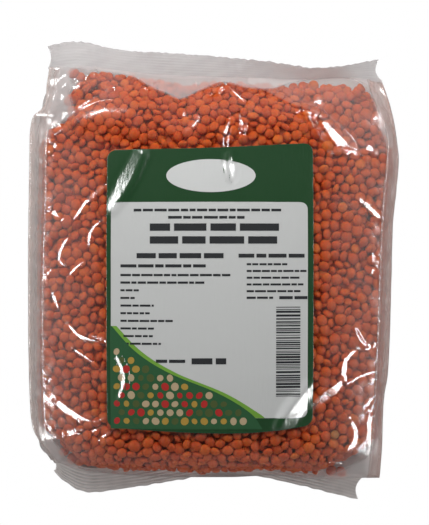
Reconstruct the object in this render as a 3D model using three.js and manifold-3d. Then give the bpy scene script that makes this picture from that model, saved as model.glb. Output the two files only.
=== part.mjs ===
// A clear plastic bag of red lentils, lying on its back with the label up. Millimetres, +Z up.
// X runs across the bag, +Y towards its top seal. The bag is a filled block between two crimped
// end seals, with a flat welded fin along each of its four long edges. A printed label lies on
// the front. Every outline below is a short list of [place, size] knots with a smooth curve
// through them.
import * as THREE from "three";
import { mergeVertices } from "three/addons/utils/BufferGeometryUtils.js";
import Module from "manifold-3d";

// Film and seals
const SEAL_THICK = 0.8; // a crimped end seal, four layers of film
const FIN_THICK = 0.5; // a welded long edge
const FIN_ROOT = 1.5; // how far a fin or a seal reaches into the filled body
const FIN_SINK = 1.2;
const RIB_PITCH = 2.2; // crimp ribs along the end seals
const RIB_HEIGHT = 0.25;

// The filled body along its length
const BOTTOM_START = -80; // below this the front film turns down to the bottom seal
const TOP_START = 62; // above this the front film slopes down to the top seal
const BACK_BOTTOM_LIFT = 16; // length over which the back film leaves the table
const BACK_TOP_LIFT = 34;
const END_BULGE_Z = 15; // height at which the bottom end reaches furthest out
const CORNER_Z = 5; // height of the two back edges
const CORNER_SHARE = 0.14; // part of the half width over which the back film turns up
const CROWN_POWER = 2.5; // flatness of the front across the bag
const GUSSET_BULGE = 4.5;
const crown = [[-80, 37], [-50, 40], [0, 41.4], [35, 40], [62, 36.5]];
const frontEdge = [[-80, 24], [-40, 27.5], [10, 28], [50, 26], [62, 25]];
const leftSeam = [
  [-104, -79], [-92, -84.5], [-75, -86], [-15, -86.3], [40, -85.2], [74, -85], [88, -82], [105, -79],
];
const rightSeam = [
  [-106, 79], [-83, 80.4], [-25, 82.8], [10, 84], [37, 85.6], [60, 88], [70, 87.5], [93, 80.4],
  [101, 78.5],
];

// Bottom end, as [x, y] seen from above
const bottomEnd = [
  [-84, -97], [-66, -102.5], [-37, -105], [8, -105.6], [30, -104.8], [52, -106.8], [84, -106],
];
const bottomRoot = [
  [-84, -98], [-62, -103.8], [-14, -97], [8, -94], [21, -96], [46, -101], [75, -107.5],
];
const bottomEdge = [
  [-85, -104.5], [-77, -111.5], [-70, -115.3], [-60, -116], [-14, -109], [8, -105.8],
  [46, -112.8], [75, -120],
];
const bottomSealEnds = [-84, 75.5];
const BOTTOM_ROOT_Z = 6;
const BOTTOM_EDGE_Z = 2.4;

// Top seal, as [x, y] or [x, z]
const topRoot = [
  [-83, 104], [-66, 105], [-43, 102.4], [-17, 100.4], [18, 99.2], [44, 98], [65, 99], [84, 97],
];
const topRootZ = [[-83, 17], [-45, 14], [0, 14.5], [45, 16], [84, 18]];
const topEdge = [
  [-85, 114.4], [-78, 116.8], [-68, 117.6], [-48, 113.6], [-9.7, 110.8],
  [26, 106.7], [43.5, 103.2], [54, 102.2], [66, 103.7], [83.5, 107.8],
];
const topEdgeZ = [
  [-85, 19], [-72, 14.5], [-40, 14], [0, 16.5], [25, 20], [45, 24.5], [58, 26], [70, 23.5], [84, 19],
];
const topSealEnds = [-84.8, 83.8];

// Outer edges of the fins, as [y, x], and how far each droops
const leftFin = [
  [-99, -81.5], [-93, -83.5], [-86, -88.5], [-79, -91.8], [-66, -93], [-35, -93.4], [35, -93.4],
  [60, -93.2], [74, -92.9], [79, -91], [82, -87.4], [86, -85.3], [94, -85], [105, -83],
];
const rightFin = [
  [-106.3, 84.8], [-89, 85.6], [-65, 86.4], [-52, 88.2], [-34, 89], [-4, 89.8], [23, 90.6],
  [40, 92.5], [56, 93.9], [68, 92.9], [83, 90.2], [97, 87], [104, 84.5],
];
const FRONT_FIN_DROOP = [3, 5.5];
const BACK_FIN_REACH = 7;
const BACK_FIN_TIP_Z = 1;

// Creases and folds of the front film: [from x, y], [to x, y], height and half width
const creases = [
  { from: [-17, 99], to: [-17, 78], height: -3.2, width: 7 }, // dip under the top seal, left
  { from: [29, 96], to: [47, 82], height: -3.4, width: 6 }, // dip under the top seal, right
  { from: [47, 82], to: [69, 61], height: -2.8, width: 6 }, // and its run to the edge
  { from: [-84, 72], to: [-56, 88], height: -3, width: 6 }, // cut corner, top left
  { from: [60, -70], to: [80, -88], height: -2, width: 8 }, // empty corner, bottom right
  { from: [48, -67], to: [66, -52], height: 1.4, width: 4 }, // fold off the label's corner
  { from: [66, -52], to: [79, -36], height: 1.2, width: 4 },
  { from: [-80, -64], to: [-48, -66], height: -1.4, width: 5 },
];

// Label
const LABEL_LEFT = -53;
const LABEL_RIGHT = 49;
const LABEL_TOP = [[-53, 60], [0, 61], [49, 63.5]];
const LABEL_BOTTOM = [[-53, -77.5], [-10, -79.8], [20, -79.8], [49, -76.5]];
const LABEL_CORNER = 4.5;
const LABEL_THICK = 0.4;
const LABEL_GAP = 0.6; // clear space to the bag's faceted skin

// Mesh fineness
const ACROSS = 26;
const GUSSET_STEPS = 6;
const MAIN_STEPS = 20;
const CAP_STEPS = 8;
const SEAL_STEPS = 20;
const LABEL_STEPS = 16;
const SMALLEST_STEP = 0.02; // finer slivers from the joins are closed up

const clamp = THREE.MathUtils.clamp;
const lerp = THREE.MathUtils.lerp;

// Smooth curve through [place, value] knots; the slope at a knot is taken across its neighbours.
function along(knots, at) {
  const last = knots.length - 1;
  const t = clamp(at, knots[0][0], knots[last][0]);
  let i = 0;
  while (i < last - 1 && t > knots[i + 1][0]) i += 1;
  const slope = (k) => {
    const a = knots[Math.max(k - 1, 0)];
    const b = knots[Math.min(k + 1, last)];
    return (b[1] - a[1]) / (b[0] - a[0]);
  };
  const [x0, y0] = knots[i];
  const [x1, y1] = knots[i + 1];
  const span = x1 - x0;
  const s = (t - x0) / span;
  const h = s * s * (3 - 2 * s);
  const bend = s * (1 - s) * span;
  return lerp(y0, y1, h) + bend * ((1 - s) * slope(i) - s * slope(i + 1));
}

// Places from low to high in equal steps.
function evenSteps(low, high, count) {
  return Array.from({ length: count + 1 }, (_, i) => lerp(low, high, i / count));
}

// Sum of the creases at a point: a bell across each line, fading out past its ends.
function relief(x, y) {
  let sum = 0;
  for (const { from, to, height, width } of creases) {
    const dx = to[0] - from[0];
    const dy = to[1] - from[1];
    const share = clamp(((x - from[0]) * dx + (y - from[1]) * dy) / (dx * dx + dy * dy), 0, 1);
    const away = Math.hypot(x - from[0] - share * dx, y - from[1] - share * dy) / width;
    sum += height * Math.exp(-away * away);
  }
  return sum;
}

// Height of the front film before the ends close it: a flat-topped arch between the two seams.
function archHeight(x, y) {
  const left = along(leftSeam, y);
  const right = along(rightSeam, y);
  const share = clamp((2 * x - left - right) / (right - left), -1, 1);
  const edge = along(frontEdge, y);
  return edge + (along(crown, y) - edge) * (1 - Math.abs(share) ** CROWN_POWER);
}

// Height of the front film at a point, sloping down to the top seal.
function frontHeight(x, y) {
  const root = along(topRoot, x);
  const fall = clamp((y - TOP_START) / (root - TOP_START), 0, 1);
  const full = 1 - fall * fall;
  const low = along(topRootZ, x) + SEAL_THICK / 2;
  return lerp(low, archHeight(x, y), full) + relief(x, y) * Math.sqrt(full);
}

// One point of the front film. part runs 0 to 1 through the cap or the main length.
function frontPoint(x, zone, part) {
  if (zone === "main") {
    const y = lerp(BOTTOM_START, TOP_START, part);
    return [x, y, frontHeight(x, y)];
  }
  if (zone === "top") {
    const y = lerp(TOP_START, along(topRoot, x), part);
    return [x, y, frontHeight(x, y)];
  }
  // The bottom end turns over its furthest reach and tucks back in to the seal.
  const turn = part * Math.PI;
  const reach = along(bottomEnd, x);
  const start = BOTTOM_START;
  if (part <= 0.5) {
    const z = lerp(END_BULGE_Z, frontHeight(x, start), Math.cos(turn));
    return [x, lerp(start, reach, Math.sin(turn)), z];
  }
  const root = along(bottomRoot, x);
  const low = BOTTOM_ROOT_Z + SEAL_THICK / 2;
  return [x, lerp(root, reach, Math.sin(turn)), lerp(low, END_BULGE_Z, 1 + Math.cos(turn))];
}

// One point of the back film: flat on the table, turned up at both edges and both ends.
function backPoint(x, zone, part) {
  const ends = {
    main: [BOTTOM_START, TOP_START],
    top: [TOP_START, along(topRoot, x)],
    bottom: [BOTTOM_START, along(bottomRoot, x)],
  }[zone];
  const y = lerp(ends[0], ends[1], part);
  const left = along(leftSeam, y);
  const right = along(rightSeam, y);
  const share = Math.abs((2 * x - left - right) / (right - left));
  const turned = clamp((share - 1 + CORNER_SHARE) / CORNER_SHARE, 0, 1);
  const edge = CORNER_Z * turned * turned;
  const toTop = clamp(1 - (along(topRoot, x) - y) / BACK_TOP_LIFT, 0, 1);
  const toBottom = clamp(1 - (y - along(bottomRoot, x)) / BACK_BOTTOM_LIFT, 0, 1);
  const sealZ = toTop > 0 ? along(topRootZ, x) : BOTTOM_ROOT_Z;
  const lift = toTop > 0 ? toTop * toTop : toBottom * toBottom;
  return [x, y, lerp(edge, sealZ - SEAL_THICK / 2, lift)];
}

// Where the left and right seams are on a ring, for the front or the back film.
function seamEnds(point, zone, part) {
  const nearLeft = point(along(leftSeam, 0), zone, part);
  const nearRight = point(along(rightSeam, 0), zone, part);
  return [along(leftSeam, nearLeft[1]), along(rightSeam, nearRight[1])];
}

// A closed ring round the body: back film left to right, right gusset up, front film right to
// left, left gusset down.
function ring(zone, part) {
  const [back, front] = [backPoint, frontPoint].map((point) => {
    const [left, right] = seamEnds(point, zone, part);
    return evenSteps(left, right, ACROSS).map((x) => point(x, zone, part));
  });
  const gusset = (low, high, side) =>
    Array.from({ length: GUSSET_STEPS - 1 }, (_, i) => {
      const s = (i + 1) / GUSSET_STEPS;
      const tall = clamp((high[2] - low[2]) / END_BULGE_Z, 0, 1);
      return [
        lerp(low[0], high[0], s) + side * GUSSET_BULGE * tall * Math.sin(Math.PI * s),
        lerp(low[1], high[1], s),
        lerp(low[2], high[2], s),
      ];
    });
  const rightSide = gusset(back[ACROSS], front[ACROSS], 1);
  const leftSide = gusset(back[0], front[0], -1);
  return [...back, ...rightSide, ...front.reverse(), ...leftSide.reverse()];
}

// A closed mesh from points and triangles, faces turned outwards.
function closedGeometry(points, triangles) {
  let volume = 0;
  for (const [a, b, c] of triangles) {
    const [p, q, r] = [points[a], points[b], points[c]];
    volume += p[0] * (q[1] * r[2] - q[2] * r[1]);
    volume += p[1] * (q[2] * r[0] - q[0] * r[2]);
    volume += p[2] * (q[0] * r[1] - q[1] * r[0]);
  }
  const geometry = new THREE.BufferGeometry();
  geometry.setAttribute("position", new THREE.Float32BufferAttribute(points.flat(), 3));
  geometry.setIndex(triangles.flatMap(([a, b, c]) => (volume > 0 ? [a, b, c] : [a, c, b])));
  return geometry;
}

// Rings from the bottom seal to the top seal.
function bodyRings() {
  const rings = [];
  for (let i = 0; i < CAP_STEPS; i += 1) rings.push(ring("bottom", 1 - i / CAP_STEPS));
  for (let i = 0; i <= MAIN_STEPS; i += 1) rings.push(ring("main", i / MAIN_STEPS));
  for (let i = 1; i <= CAP_STEPS; i += 1) rings.push(ring("top", i / CAP_STEPS));
  return rings;
}

// The filled body, closed at both thin ends.
function bodyGeometry(rings) {
  const size = rings[0].length;
  const triangles = [];
  for (let j = 0; j + 1 < rings.length; j += 1) {
    for (let i = 0; i < size; i += 1) {
      const a = j * size + i;
      const b = j * size + ((i + 1) % size);
      triangles.push([a, b, b + size], [a, b + size, a + size]);
    }
  }
  const closeEnd = (first, flip) => {
    const front = ACROSS + GUSSET_STEPS; // index of the front film's right end
    const add = (a, b, c) => {
      const order = flip ? [a, c, b] : [a, b, c];
      triangles.push(order.map((index) => first + index));
    };
    for (let i = 0; i < ACROSS; i += 1) {
      const over = front + ACROSS - i;
      add(i, over, i + 1);
      add(i + 1, over, over - 1);
    }
    for (let i = ACROSS; i + 1 < front; i += 1) add(i, front, i + 1);
    for (let i = front + ACROSS; i + 1 < size; i += 1) add(i, 0, i + 1);
  };
  closeEnd(0, false);
  closeEnd((rings.length - 1) * size, true);
  return closedGeometry(rings.flat(), triangles);
}

// A sheet of even thickness over a grid of points.
function sheetGeometry(grid, thickness) {
  const rows = grid.length;
  const cols = grid[0].length;
  const vector = (r, c) => new THREE.Vector3(...grid[clamp(r, 0, rows - 1)][clamp(c, 0, cols - 1)]);
  const upper = [];
  const lower = [];
  for (let r = 0; r < rows; r += 1) {
    for (let c = 0; c < cols; c += 1) {
      const down = vector(r + 1, c).sub(vector(r - 1, c));
      const over = vector(r, c + 1).sub(vector(r, c - 1));
      const normal = over.cross(down).normalize().multiplyScalar(thickness / 2);
      upper.push(vector(r, c).add(normal).toArray());
      lower.push(vector(r, c).sub(normal).toArray());
    }
  }
  const under = rows * cols;
  const triangles = [];
  const wall = (a, b) => triangles.push([a, a + under, b + under], [a, b + under, b]);
  for (let r = 0; r + 1 < rows; r += 1) {
    for (let c = 0; c + 1 < cols; c += 1) {
      const a = r * cols + c;
      const [b, d] = [a + 1, a + cols];
      triangles.push([a, b, d + 1], [a, d + 1, d]);
      triangles.push([a + under, d + 1 + under, b + under], [a + under, d + under, d + 1 + under]);
    }
  }
  for (let c = 0; c + 1 < cols; c += 1) {
    wall(c, c + 1);
    wall((rows - 1) * cols + c + 1, (rows - 1) * cols + c);
  }
  for (let r = 0; r + 1 < rows; r += 1) {
    wall((r + 1) * cols, r * cols);
    wall(r * cols + cols - 1, (r + 1) * cols + cols - 1);
  }
  return closedGeometry([...upper, ...lower], triangles);
}

// An end seal: a crimped band from its root line inside the bag to its free edge.
function sealGeometry(ends, root, edge) {
  const [, ry, rz] = root(0);
  const [, ey, ez] = edge(0);
  const ribs = Math.round(Math.hypot(ey - ry, ez - rz) / RIB_PITCH);
  const grid = [];
  for (let r = -1; r <= 2 * ribs; r += 1) {
    const share = r < 0 ? -FIN_ROOT / RIB_PITCH / ribs : r / (2 * ribs);
    const flat = r <= 0 || r === 2 * ribs;
    const rib = flat ? 0 : (r % 2 ? 1 : -1) * RIB_HEIGHT;
    grid.push(
      evenSteps(ends[0], ends[1], SEAL_STEPS).map((x) => {
        const [from, to] = [root(x), edge(x)];
        return [x, lerp(from[1], to[1], share), lerp(from[2], to[2], share) + rib];
      }),
    );
  }
  return sheetGeometry(grid, SEAL_THICK - 2 * RIB_HEIGHT);
}

// A welded long edge: a narrow strip from inside the seam, whose corner points are given, out to
// its free edge. sink is the way into the filled body: -1 below the front film, 1 above the back.
function finGeometry(corners, tipOf, sink) {
  const grid = corners.map(([x, y, z]) => {
    const [tipX, tipZ] = tipOf(x, y, z);
    const inner = [x - Math.sign(tipX - x) * FIN_ROOT, y * 0.985, z + sink * FIN_SINK];
    const middle = [lerp(x, tipX, 0.5), y, lerp(z, tipZ, 0.38)];
    return [inner, [x, y, z], middle, [tipX, y, tipZ]];
  });
  return sheetGeometry(grid, FIN_THICK);
}

const wasm = await Module();
wasm.setup();

function toSolid(geometry) {
  const merged = mergeVertices(geometry, 1e-4);
  const vertProperties = new Float32Array(merged.getAttribute("position").array);
  const triVerts = new Uint32Array(merged.index.array);
  return new wasm.Manifold(new wasm.Mesh({ numProp: 3, vertProperties, triVerts }));
}

function toGeometry(solid) {
  const mesh = solid.getMesh();
  const geometry = new THREE.BufferGeometry();
  geometry.setAttribute("position", new THREE.BufferAttribute(mesh.vertProperties, 3));
  geometry.setIndex(new THREE.BufferAttribute(mesh.triVerts, 1));
  geometry.computeVertexNormals();
  return geometry;
}

// The whole bag: body, four fins and two end seals joined into one solid.
function bagGeometry() {
  const topSeal = sealGeometry(
    topSealEnds,
    (x) => [x, along(topRoot, x), along(topRootZ, x)],
    (x) => [x, along(topEdge, x), along(topEdgeZ, x)],
  );
  const bottomSeal = sealGeometry(
    bottomSealEnds,
    (x) => [x, along(bottomRoot, x), BOTTOM_ROOT_Z],
    (x) => [x, along(bottomEdge, x), BOTTOM_EDGE_Z],
  );
  const rings = bodyRings();
  const frontRings = rings.slice(CAP_STEPS / 2); // from the furthest reach of the bottom end
  const sides = [
    { edge: leftFin, out: -1, droop: FRONT_FIN_DROOP[0], front: 2 * ACROSS + GUSSET_STEPS, back: 0 },
    { edge: rightFin, out: 1, droop: FRONT_FIN_DROOP[1], front: ACROSS + GUSSET_STEPS, back: ACROSS },
  ];
  const fins = sides.flatMap(({ edge, out, droop, front, back }) => {
    const frontTip = (x, y, z) => [along(edge, y), z - droop * clamp((z - END_BULGE_Z) / 10, 0, 1)];
    const backTip = (x, y, z) => {
      const raised = clamp((z - CORNER_Z) / (BACK_FIN_REACH - BACK_FIN_TIP_Z), 0, 1);
      return [x + out * BACK_FIN_REACH * (1 - 0.6 * raised), lerp(BACK_FIN_TIP_Z, z, raised)];
    };
    return [
      finGeometry(frontRings.map((points) => points[front]), frontTip, -1),
      finGeometry(rings.map((points) => points[back]), backTip, 1),
    ];
  });
  const pieces = [bodyGeometry(rings), topSeal, bottomSeal, ...fins].map(toSolid);
  const whole = pieces.reduce((sum, next) => sum.add(next));
  return toGeometry(whole.simplify(SMALLEST_STEP));
}

// How far a rounded corner draws the label's side in, at a distance from the label's end.
function cornerInset(fromEnd) {
  const short = 1 - fromEnd / LABEL_CORNER;
  return LABEL_CORNER * (1 - Math.sqrt(1 - short * short));
}

// The label: rows across the front film, drawn in round the corners at both ends.
function labelGeometry() {
  const ends = [0, 0.12, 0.4, 1].map((share) => share * LABEL_CORNER);
  const between = evenSteps(0, 1, LABEL_STEPS).slice(1, -1);
  const rows = [
    ...ends.map((far) => ({ inset: cornerInset(far), place: (low) => low + far })),
    ...between.map((share) => ({
      inset: 0,
      place: (low, high) => lerp(low + LABEL_CORNER, high - LABEL_CORNER, share),
    })),
    ...ends.reverse().map((far) => ({ inset: cornerInset(far), place: (low, high) => high - far })),
  ];
  const grid = rows.map(({ inset, place }) =>
    evenSteps(LABEL_LEFT + inset, LABEL_RIGHT - inset, LABEL_STEPS).map((x) => {
      const y = place(along(LABEL_BOTTOM, x), along(LABEL_TOP, x));
      return [x, y, frontHeight(x, y) + LABEL_GAP + LABEL_THICK / 2];
    }),
  );
  return sheetGeometry(grid, LABEL_THICK);
}

const lentilsUnderFilm = new THREE.MeshStandardMaterial({
  color: 0xc2552f,
  roughness: 0.35,
  metalness: 0,
});
const printedLabel = new THREE.MeshStandardMaterial({ color: 0x1f4a2e, roughness: 0.35, metalness: 0 });

const bag = new THREE.Mesh(bagGeometry(), lentilsUnderFilm);
bag.name = "bag";
const label = new THREE.Mesh(labelGeometry(), printedLabel);
label.name = "label";

// The origin is the middle of the bag's box, at the table.
bag.geometry.computeBoundingBox();
const box = bag.geometry.boundingBox;
const middle = box.getCenter(new THREE.Vector3());
for (const mesh of [bag, label]) mesh.position.set(-middle.x, -middle.y, -box.min.z);

const part = new THREE.Group();
part.add(bag, label);

export default part;
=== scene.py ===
# A clear film bag packed with red lentils, lying on its back: film, welded fins, crimped end
# seals, separate lentils and a printed label. Lengths are in millimetres up to build_mesh, which
# turns them into metres, and in metres for the lights. X runs across the bag, Y towards its top
# seal, Z up.
import math

import bpy
import numpy as np
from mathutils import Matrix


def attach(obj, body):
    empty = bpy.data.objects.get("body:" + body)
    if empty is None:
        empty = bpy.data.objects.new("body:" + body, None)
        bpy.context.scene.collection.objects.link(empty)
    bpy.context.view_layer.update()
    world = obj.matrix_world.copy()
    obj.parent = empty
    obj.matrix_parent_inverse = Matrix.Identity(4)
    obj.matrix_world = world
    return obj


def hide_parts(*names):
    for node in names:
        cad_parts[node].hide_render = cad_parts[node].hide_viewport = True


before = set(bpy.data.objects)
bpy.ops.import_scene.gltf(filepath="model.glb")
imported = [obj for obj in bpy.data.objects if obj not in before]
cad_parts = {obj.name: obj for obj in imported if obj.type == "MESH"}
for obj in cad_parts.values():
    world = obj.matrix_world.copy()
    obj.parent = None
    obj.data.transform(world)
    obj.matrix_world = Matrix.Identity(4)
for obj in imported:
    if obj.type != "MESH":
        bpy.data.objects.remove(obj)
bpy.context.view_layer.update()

# From the drawing's own middle to the frame's, in mm
FRAME_SHIFT = (-0.836, 1.213, 0.0)

# The filled body along its length
BOTTOM_START = -80.0
TOP_START = 62.0
BACK_BOTTOM_LIFT = 16.0
BACK_TOP_LIFT = 34.0
END_BULGE_Z = 15.0
CORNER_Z = 5.0
CORNER_SHARE = 0.14
CROWN_POWER = 2.5
SEAL_THICK = 0.6
FIN_THICK = 0.3
FIN_WAVE = 0.28
FIN_RIPPLE = 0.05
FIN_SAG = 0.15
CROWN = [(-80, 37), (-50, 40), (0, 41.2), (35, 40), (62, 36.5)]
FRONT_EDGE = [(-80, 24), (-40, 27.5), (10, 28), (50, 26), (62, 25)]
LEFT_SEAM = [(-104, -79), (-92, -84.5), (-75, -86), (-15, -86.3), (40, -85.2), (74, -85),
             (88, -82), (105, -79)]
RIGHT_SEAM = [(-106, 79), (-83, 80.4), (-25, 82.8), (10, 84), (37, 85.6), (60, 88), (70, 87.5),
              (93, 80.4), (101, 78.5)]

# Bottom end and its seal, seen from above
BOTTOM_END = [(-84, -97), (-66, -102.5), (-37, -105), (8, -105.6), (30, -104.8), (52, -106.8),
              (84, -106)]
BOTTOM_ROOT = [(-84, -98), (-62, -103.8), (-14, -97), (8, -94), (21, -96), (46, -101), (75, -107.5)]
BOTTOM_EDGE = [(-85, -104.5), (-77, -111.5), (-70, -115.3), (-60, -116), (-14, -109), (8, -105.8),
               (46, -112.8), (75, -120)]
BOTTOM_SEAL_ENDS = (-84.0, 75.5)
BOTTOM_ROOT_Z = 6.0
BOTTOM_EDGE_Z = 2.4

# Top seal
TOP_ROOT = [(-83, 104), (-66, 105), (-43, 102.4), (-17, 100.4), (18, 99.2), (44, 98), (65, 99),
            (84, 97)]
TOP_ROOT_Z = [(-83, 17), (-45, 14), (0, 14.5), (45, 16), (84, 18)]
TOP_EDGE = [(-85, 114.4), (-78, 116.8), (-68, 117.6), (-48, 113.6), (-9.7, 110.8), (26, 106.7),
            (43.5, 103.7), (54, 102.9), (66, 104.1), (83.5, 107.8)]
TOP_EDGE_Z = [(-85, 19), (-72, 14.5), (-40, 14), (0, 16.5), (25, 20), (45, 21.5), (58, 22),
              (70, 21), (84, 19)]
TOP_SEAL_ENDS = (-84.8, 83.8)

# Free edges of the front fins, as (y, x)
LEFT_FIN = [(-99, -81.5), (-93, -83.5), (-86, -88.5), (-79, -91.8), (-66, -93), (-35, -93.4),
            (35, -93.4), (60, -93.2), (74, -92.9), (79, -91), (82, -87.4), (86, -85.5), (94, -85.3),
            (100, -84.7), (105, -84)]
RIGHT_FIN = [(-106.3, 84.8), (-89, 85.6), (-65, 86.4), (-52, 88.2), (-34, 89), (-4, 89.8),
             (23, 90.6), (40, 92.5), (56, 93.9), (68, 92.9), (83, 90.2), (97, 85.9), (104, 83.3)]
BACK_FIN_REACH = 7.0
BACK_FIN_TIP_Z = 1.0

# Broad dips and ridges of the front film: from, to, height, half width
CREASES = [
    ((-17, 99), (-17, 78), -3.2, 7.0),
    ((29, 96), (47, 85), -3.2, 6.0),
    ((50, 85), (72, 65), -1.8, 5.0),
    ((5.5, 101), (5.5, 95), 2.6, 5.5),
    ((-84, 74), (-56, 90), -1.3, 5.0),
]

# Folds of the front film that catch the light: points along the fold, half width of its bright strip
FOLDS = [
    ([(-70.5, 81), (-64, 83), (-57, 86), (-50.5, 86.5)], 0.3),
    ([(-84, 76.5), (-80.5, 75), (-77, 75.5)], 1.0),
    ([(-77, 75.5), (-76, 78), (-75.5, 80.5)], 0.6),
    ([(-5, 87.5), (0, 90), (5, 94)], 0.7),
    ([(6.8, 94), (10.5, 90), (16.5, 84)], 0.6),
    ([(8, 74.5), (4.8, 65.5), (5, 61)], 0.7),
    ([(12.5, 79), (13.8, 73.5), (13.5, 68)], 0.7),
    ([(44, 80.5), (51, 77.5), (54.5, 73.5), (57.5, 69.5), (61.5, 65.5), (65.5, 62), (69, 60)], 1.5),
    ([(55, 73), (61, 66), (68.5, 59)], 2.1),
    ([(57.5, 59), (65.5, 60.5), (76, 57.5)], 0.4),
    ([(75, 63.5), (79.5, 60.5)], 1.2),
    ([(72.5, 35.5), (76, 33), (80, 29.5), (84, 26.5)], 0.8),
    ([(-54, 42), (-59.5, 37.5), (-64.5, 33), (-69, 26.5)], 0.7),
    ([(-55, 25.5), (-58.5, 22.5), (-61, 19.5), (-62, 13)], 0.6),
    ([(-73, 15.5), (-76.5, 10), (-77, 4.5), (-73, 2.5)], 0.5),
    ([(-72, -2), (-68.5, 1.5), (-64.5, 4.5)], 0.5),
    ([(-72, -27), (-67, -32), (-61, -34), (-55, -35)], 0.7),
    ([(-69.5, -39), (-64, -42.5), (-59, -45.5)], 0.5),
    ([(-78.5, -65.5), (-72, -70), (-66, -73.5), (-60, -75)], 1.0),
    ([(-59, -75), (-53, -72.5)], 0.35),
    ([(48, -66.5), (53, -63.5), (58, -59.5), (63, -57), (64.5, -50.5), (65.5, -44.5), (70.5, -39.5)], 1.0),
    ([(47.5, -67), (53, -63.5), (58.5, -60), (64, -55.5)], 1.3),
    ([(70.5, -29.5), (72.5, -34), (75.5, -37), (79, -37)], 0.5),
    ([(65.5, -57), (73, -53), (81, -50.5)], 0.45),
    ([(69, -75.5), (71, -80.5), (71, -85), (66.5, -90.5)], 0.9),
    ([(55.5, -95.5), (62, -97), (68.5, -98.5)], 0.5),
    ([(80.5, -67), (78, -74.5), (79, -80), (78.5, -88)], 0.45),
    ([(-74, -82), (-68, -81), (-64, -82)], 0.7),
    ([(-61, -80), (-57, -78.5)], 0.6),
    ([(-56, -83), (-51, -80)], 0.8),
    ([(-82, 66), (-79, 62)], 0.7),
    ([(-81, 30), (-77, 27)], 0.7),
    ([(80, 8), (82, 2)], 0.5),
    ([(-80, -12), (-78, -18)], 0.5),
]

# The same on the label, where they are broad
LABEL_FOLDS = [
    ([(-37, 57), (-43, 46), (-51, 32)], 2.2),
    ([(8, 56), (9, 46)], 1.2),
    ([(-47.5, -43), (-45, -49), (-44.5, -55), (-47, -62)], 0.8),
    ([(47.5, -59), (42, -67), (34, -77)], 2.4),
]

# Faint unevenness of the front film: slow and quick ripples, the crumple of its top left corner,
# and counts of small folds along the sides and the top
SLOW_RIPPLE = 0.10
QUICK_RIPPLE = 0.02
CRUMPLE = 0.38
CRUMPLED_CORNER = (-79, 95)
SIDE_CRUMPLE = 0.45
SIDE_FOLDS = 8
TOP_FOLDS = 12

# The camera, and arcs of lamps that show as glints in the film: first azimuth, last azimuth, angle
# from overhead, count. All stand at one distance.
CAMERA = (0.25, 4.25, 590.0)
LENS = 76.8
LAMP_ARCS = [(-38, 46, 59, 6), (110, 124, 59, 1), (148, 215, 59, 4)]
LAMP_DISTANCE = 900.0
LAMP_DEPTH = 80.0
LAMP_RADIANCE = 45.0
FLOOR_Z = -0.2
FLOOR_REACH = 2000.0

# Where the front film leaves the lentils below the top seal, as (x, y)
CONTACT_TOP = [(-74, 103), (-60, 102), (-42, 99), (-32, 93), (-24.5, 89.5), (-17, 86.5), (-7, 91),
               (4, 95.5), (18, 92.5), (30, 92.5), (39, 95.5), (54, 98.5), (66, 100.5), (80, 99)]

# Where the film of the top right corner overlaps the rest, as (y, x)
LOBE_EDGE = [(57, 72), (66, 61.5), (80, 48), (84.5, 38.5), (92.5, 23.5), (96, 17)]

# How cloudy the film is, from 0 to 1: on the lentils, what other places of the front add to that,
# the least of it past the lentil bed, and the back's
HAZE_CLEAR = 0.004
HAZE_OFF_TOP = 0.34
HAZE_LOBE = 0.11
HAZE_SIDES = 0.09
HAZE_TOP_LEFT = 0.06
HAZE_PAST_BED = 0.38
HAZE_BACK = 0.10
HAZE_BACK_PAST_BED = 0.25

# The lentil bed inside the film
BED_LEFT = [(-100, -74), (-92.5, -74), (-85.5, -79.5), (-78.5, -84), (-70, -85), (60, -84.2), (68, -82),
            (73.5, -80), (76, -74), (80, -69.5), (85, -70.5), (91, -71.5), (95, -66.5), (101, -64)]
BED_RIGHT = [(-102, 62), (-98.5, 68), (-95, 75.5), (-88.5, 79), (-60, 80.5), (-25, 82), (10, 83.2),
             (37, 84.8), (58, 86.5), (66.5, 84), (72, 82), (80.5, 81), (85, 79.5), (92, 77.5),
             (97, 75)]
BED_TOP = [(-74, 98), (-66, 99.3), (-60, 101.3), (-52, 100.8), (-43, 99.5), (-32, 97.5), (-17, 96),
           (4, 96.5), (21, 95.5), (38, 95), (59, 97.3), (66, 97.8), (78, 93)]
BED_BOTTOM = [(-84, -91), (-74, -93), (-66, -100), (-37, -103.2), (8, -104), (30, -103),
              (52, -103.5), (62, -100), (75, -94), (84, -90)]

# Lentils
LENTIL_WIDTH = 5.8
LENTIL_REACH = 5.35
DEPTH_STRETCH = 1.5
SHALLOWEST = (1.9, 3.1)
DEEPEST = 7.0
LENTILS_PER_AREA = 0.112
BED_SINK = 1.8
FACING_UP = 0.55
SPREAD_ROUNDS = 40
PUSH = 0.3

# Lentils that lie apart from the rest in the corners, as (x, y)
STRAY_LENTILS = [(-72.0, 101.3), (-68.6, 99.6), (-66.0, 97.0), (-78.0, -94.0), (-73.5, -97.5),
                 (-70.0, -99.5), (61.0, -104.0), (66.0, -104.5)]

# Room above and below each of those, the height of those past the filled body's lower end, and the
# place of those at the top left, where the film is clearer
STRAY_ROOM = 1.55
STRAY_Z = 8.0
STRAY_PATCH = (-69, 99)

# How far the sides bulge past the seams
FILM_BULGE = 5.6
BED_BULGE = 6.2

# Label
LABEL_LEFT = -53.0
LABEL_RIGHT = 49.0
LABEL_TOP = [(-53, 60), (0, 61), (49, 63.5)]
LABEL_BOTTOM = [(-53, -77.5), (-10, -79.8), (20, -79.8), (49, -76.5)]
LABEL_CORNER = 4.5
LABEL_THICK = 0.3
LABEL_LIFT = 0.55
PANEL_LEFT = -50.8
PANEL_RIGHT = 46.2
PANEL_LOW = -72.5
PANEL_HIGH = 34
PANEL_LOW_CORNER = 3.0
PANEL_HIGH_CORNER = 3.5

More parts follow.
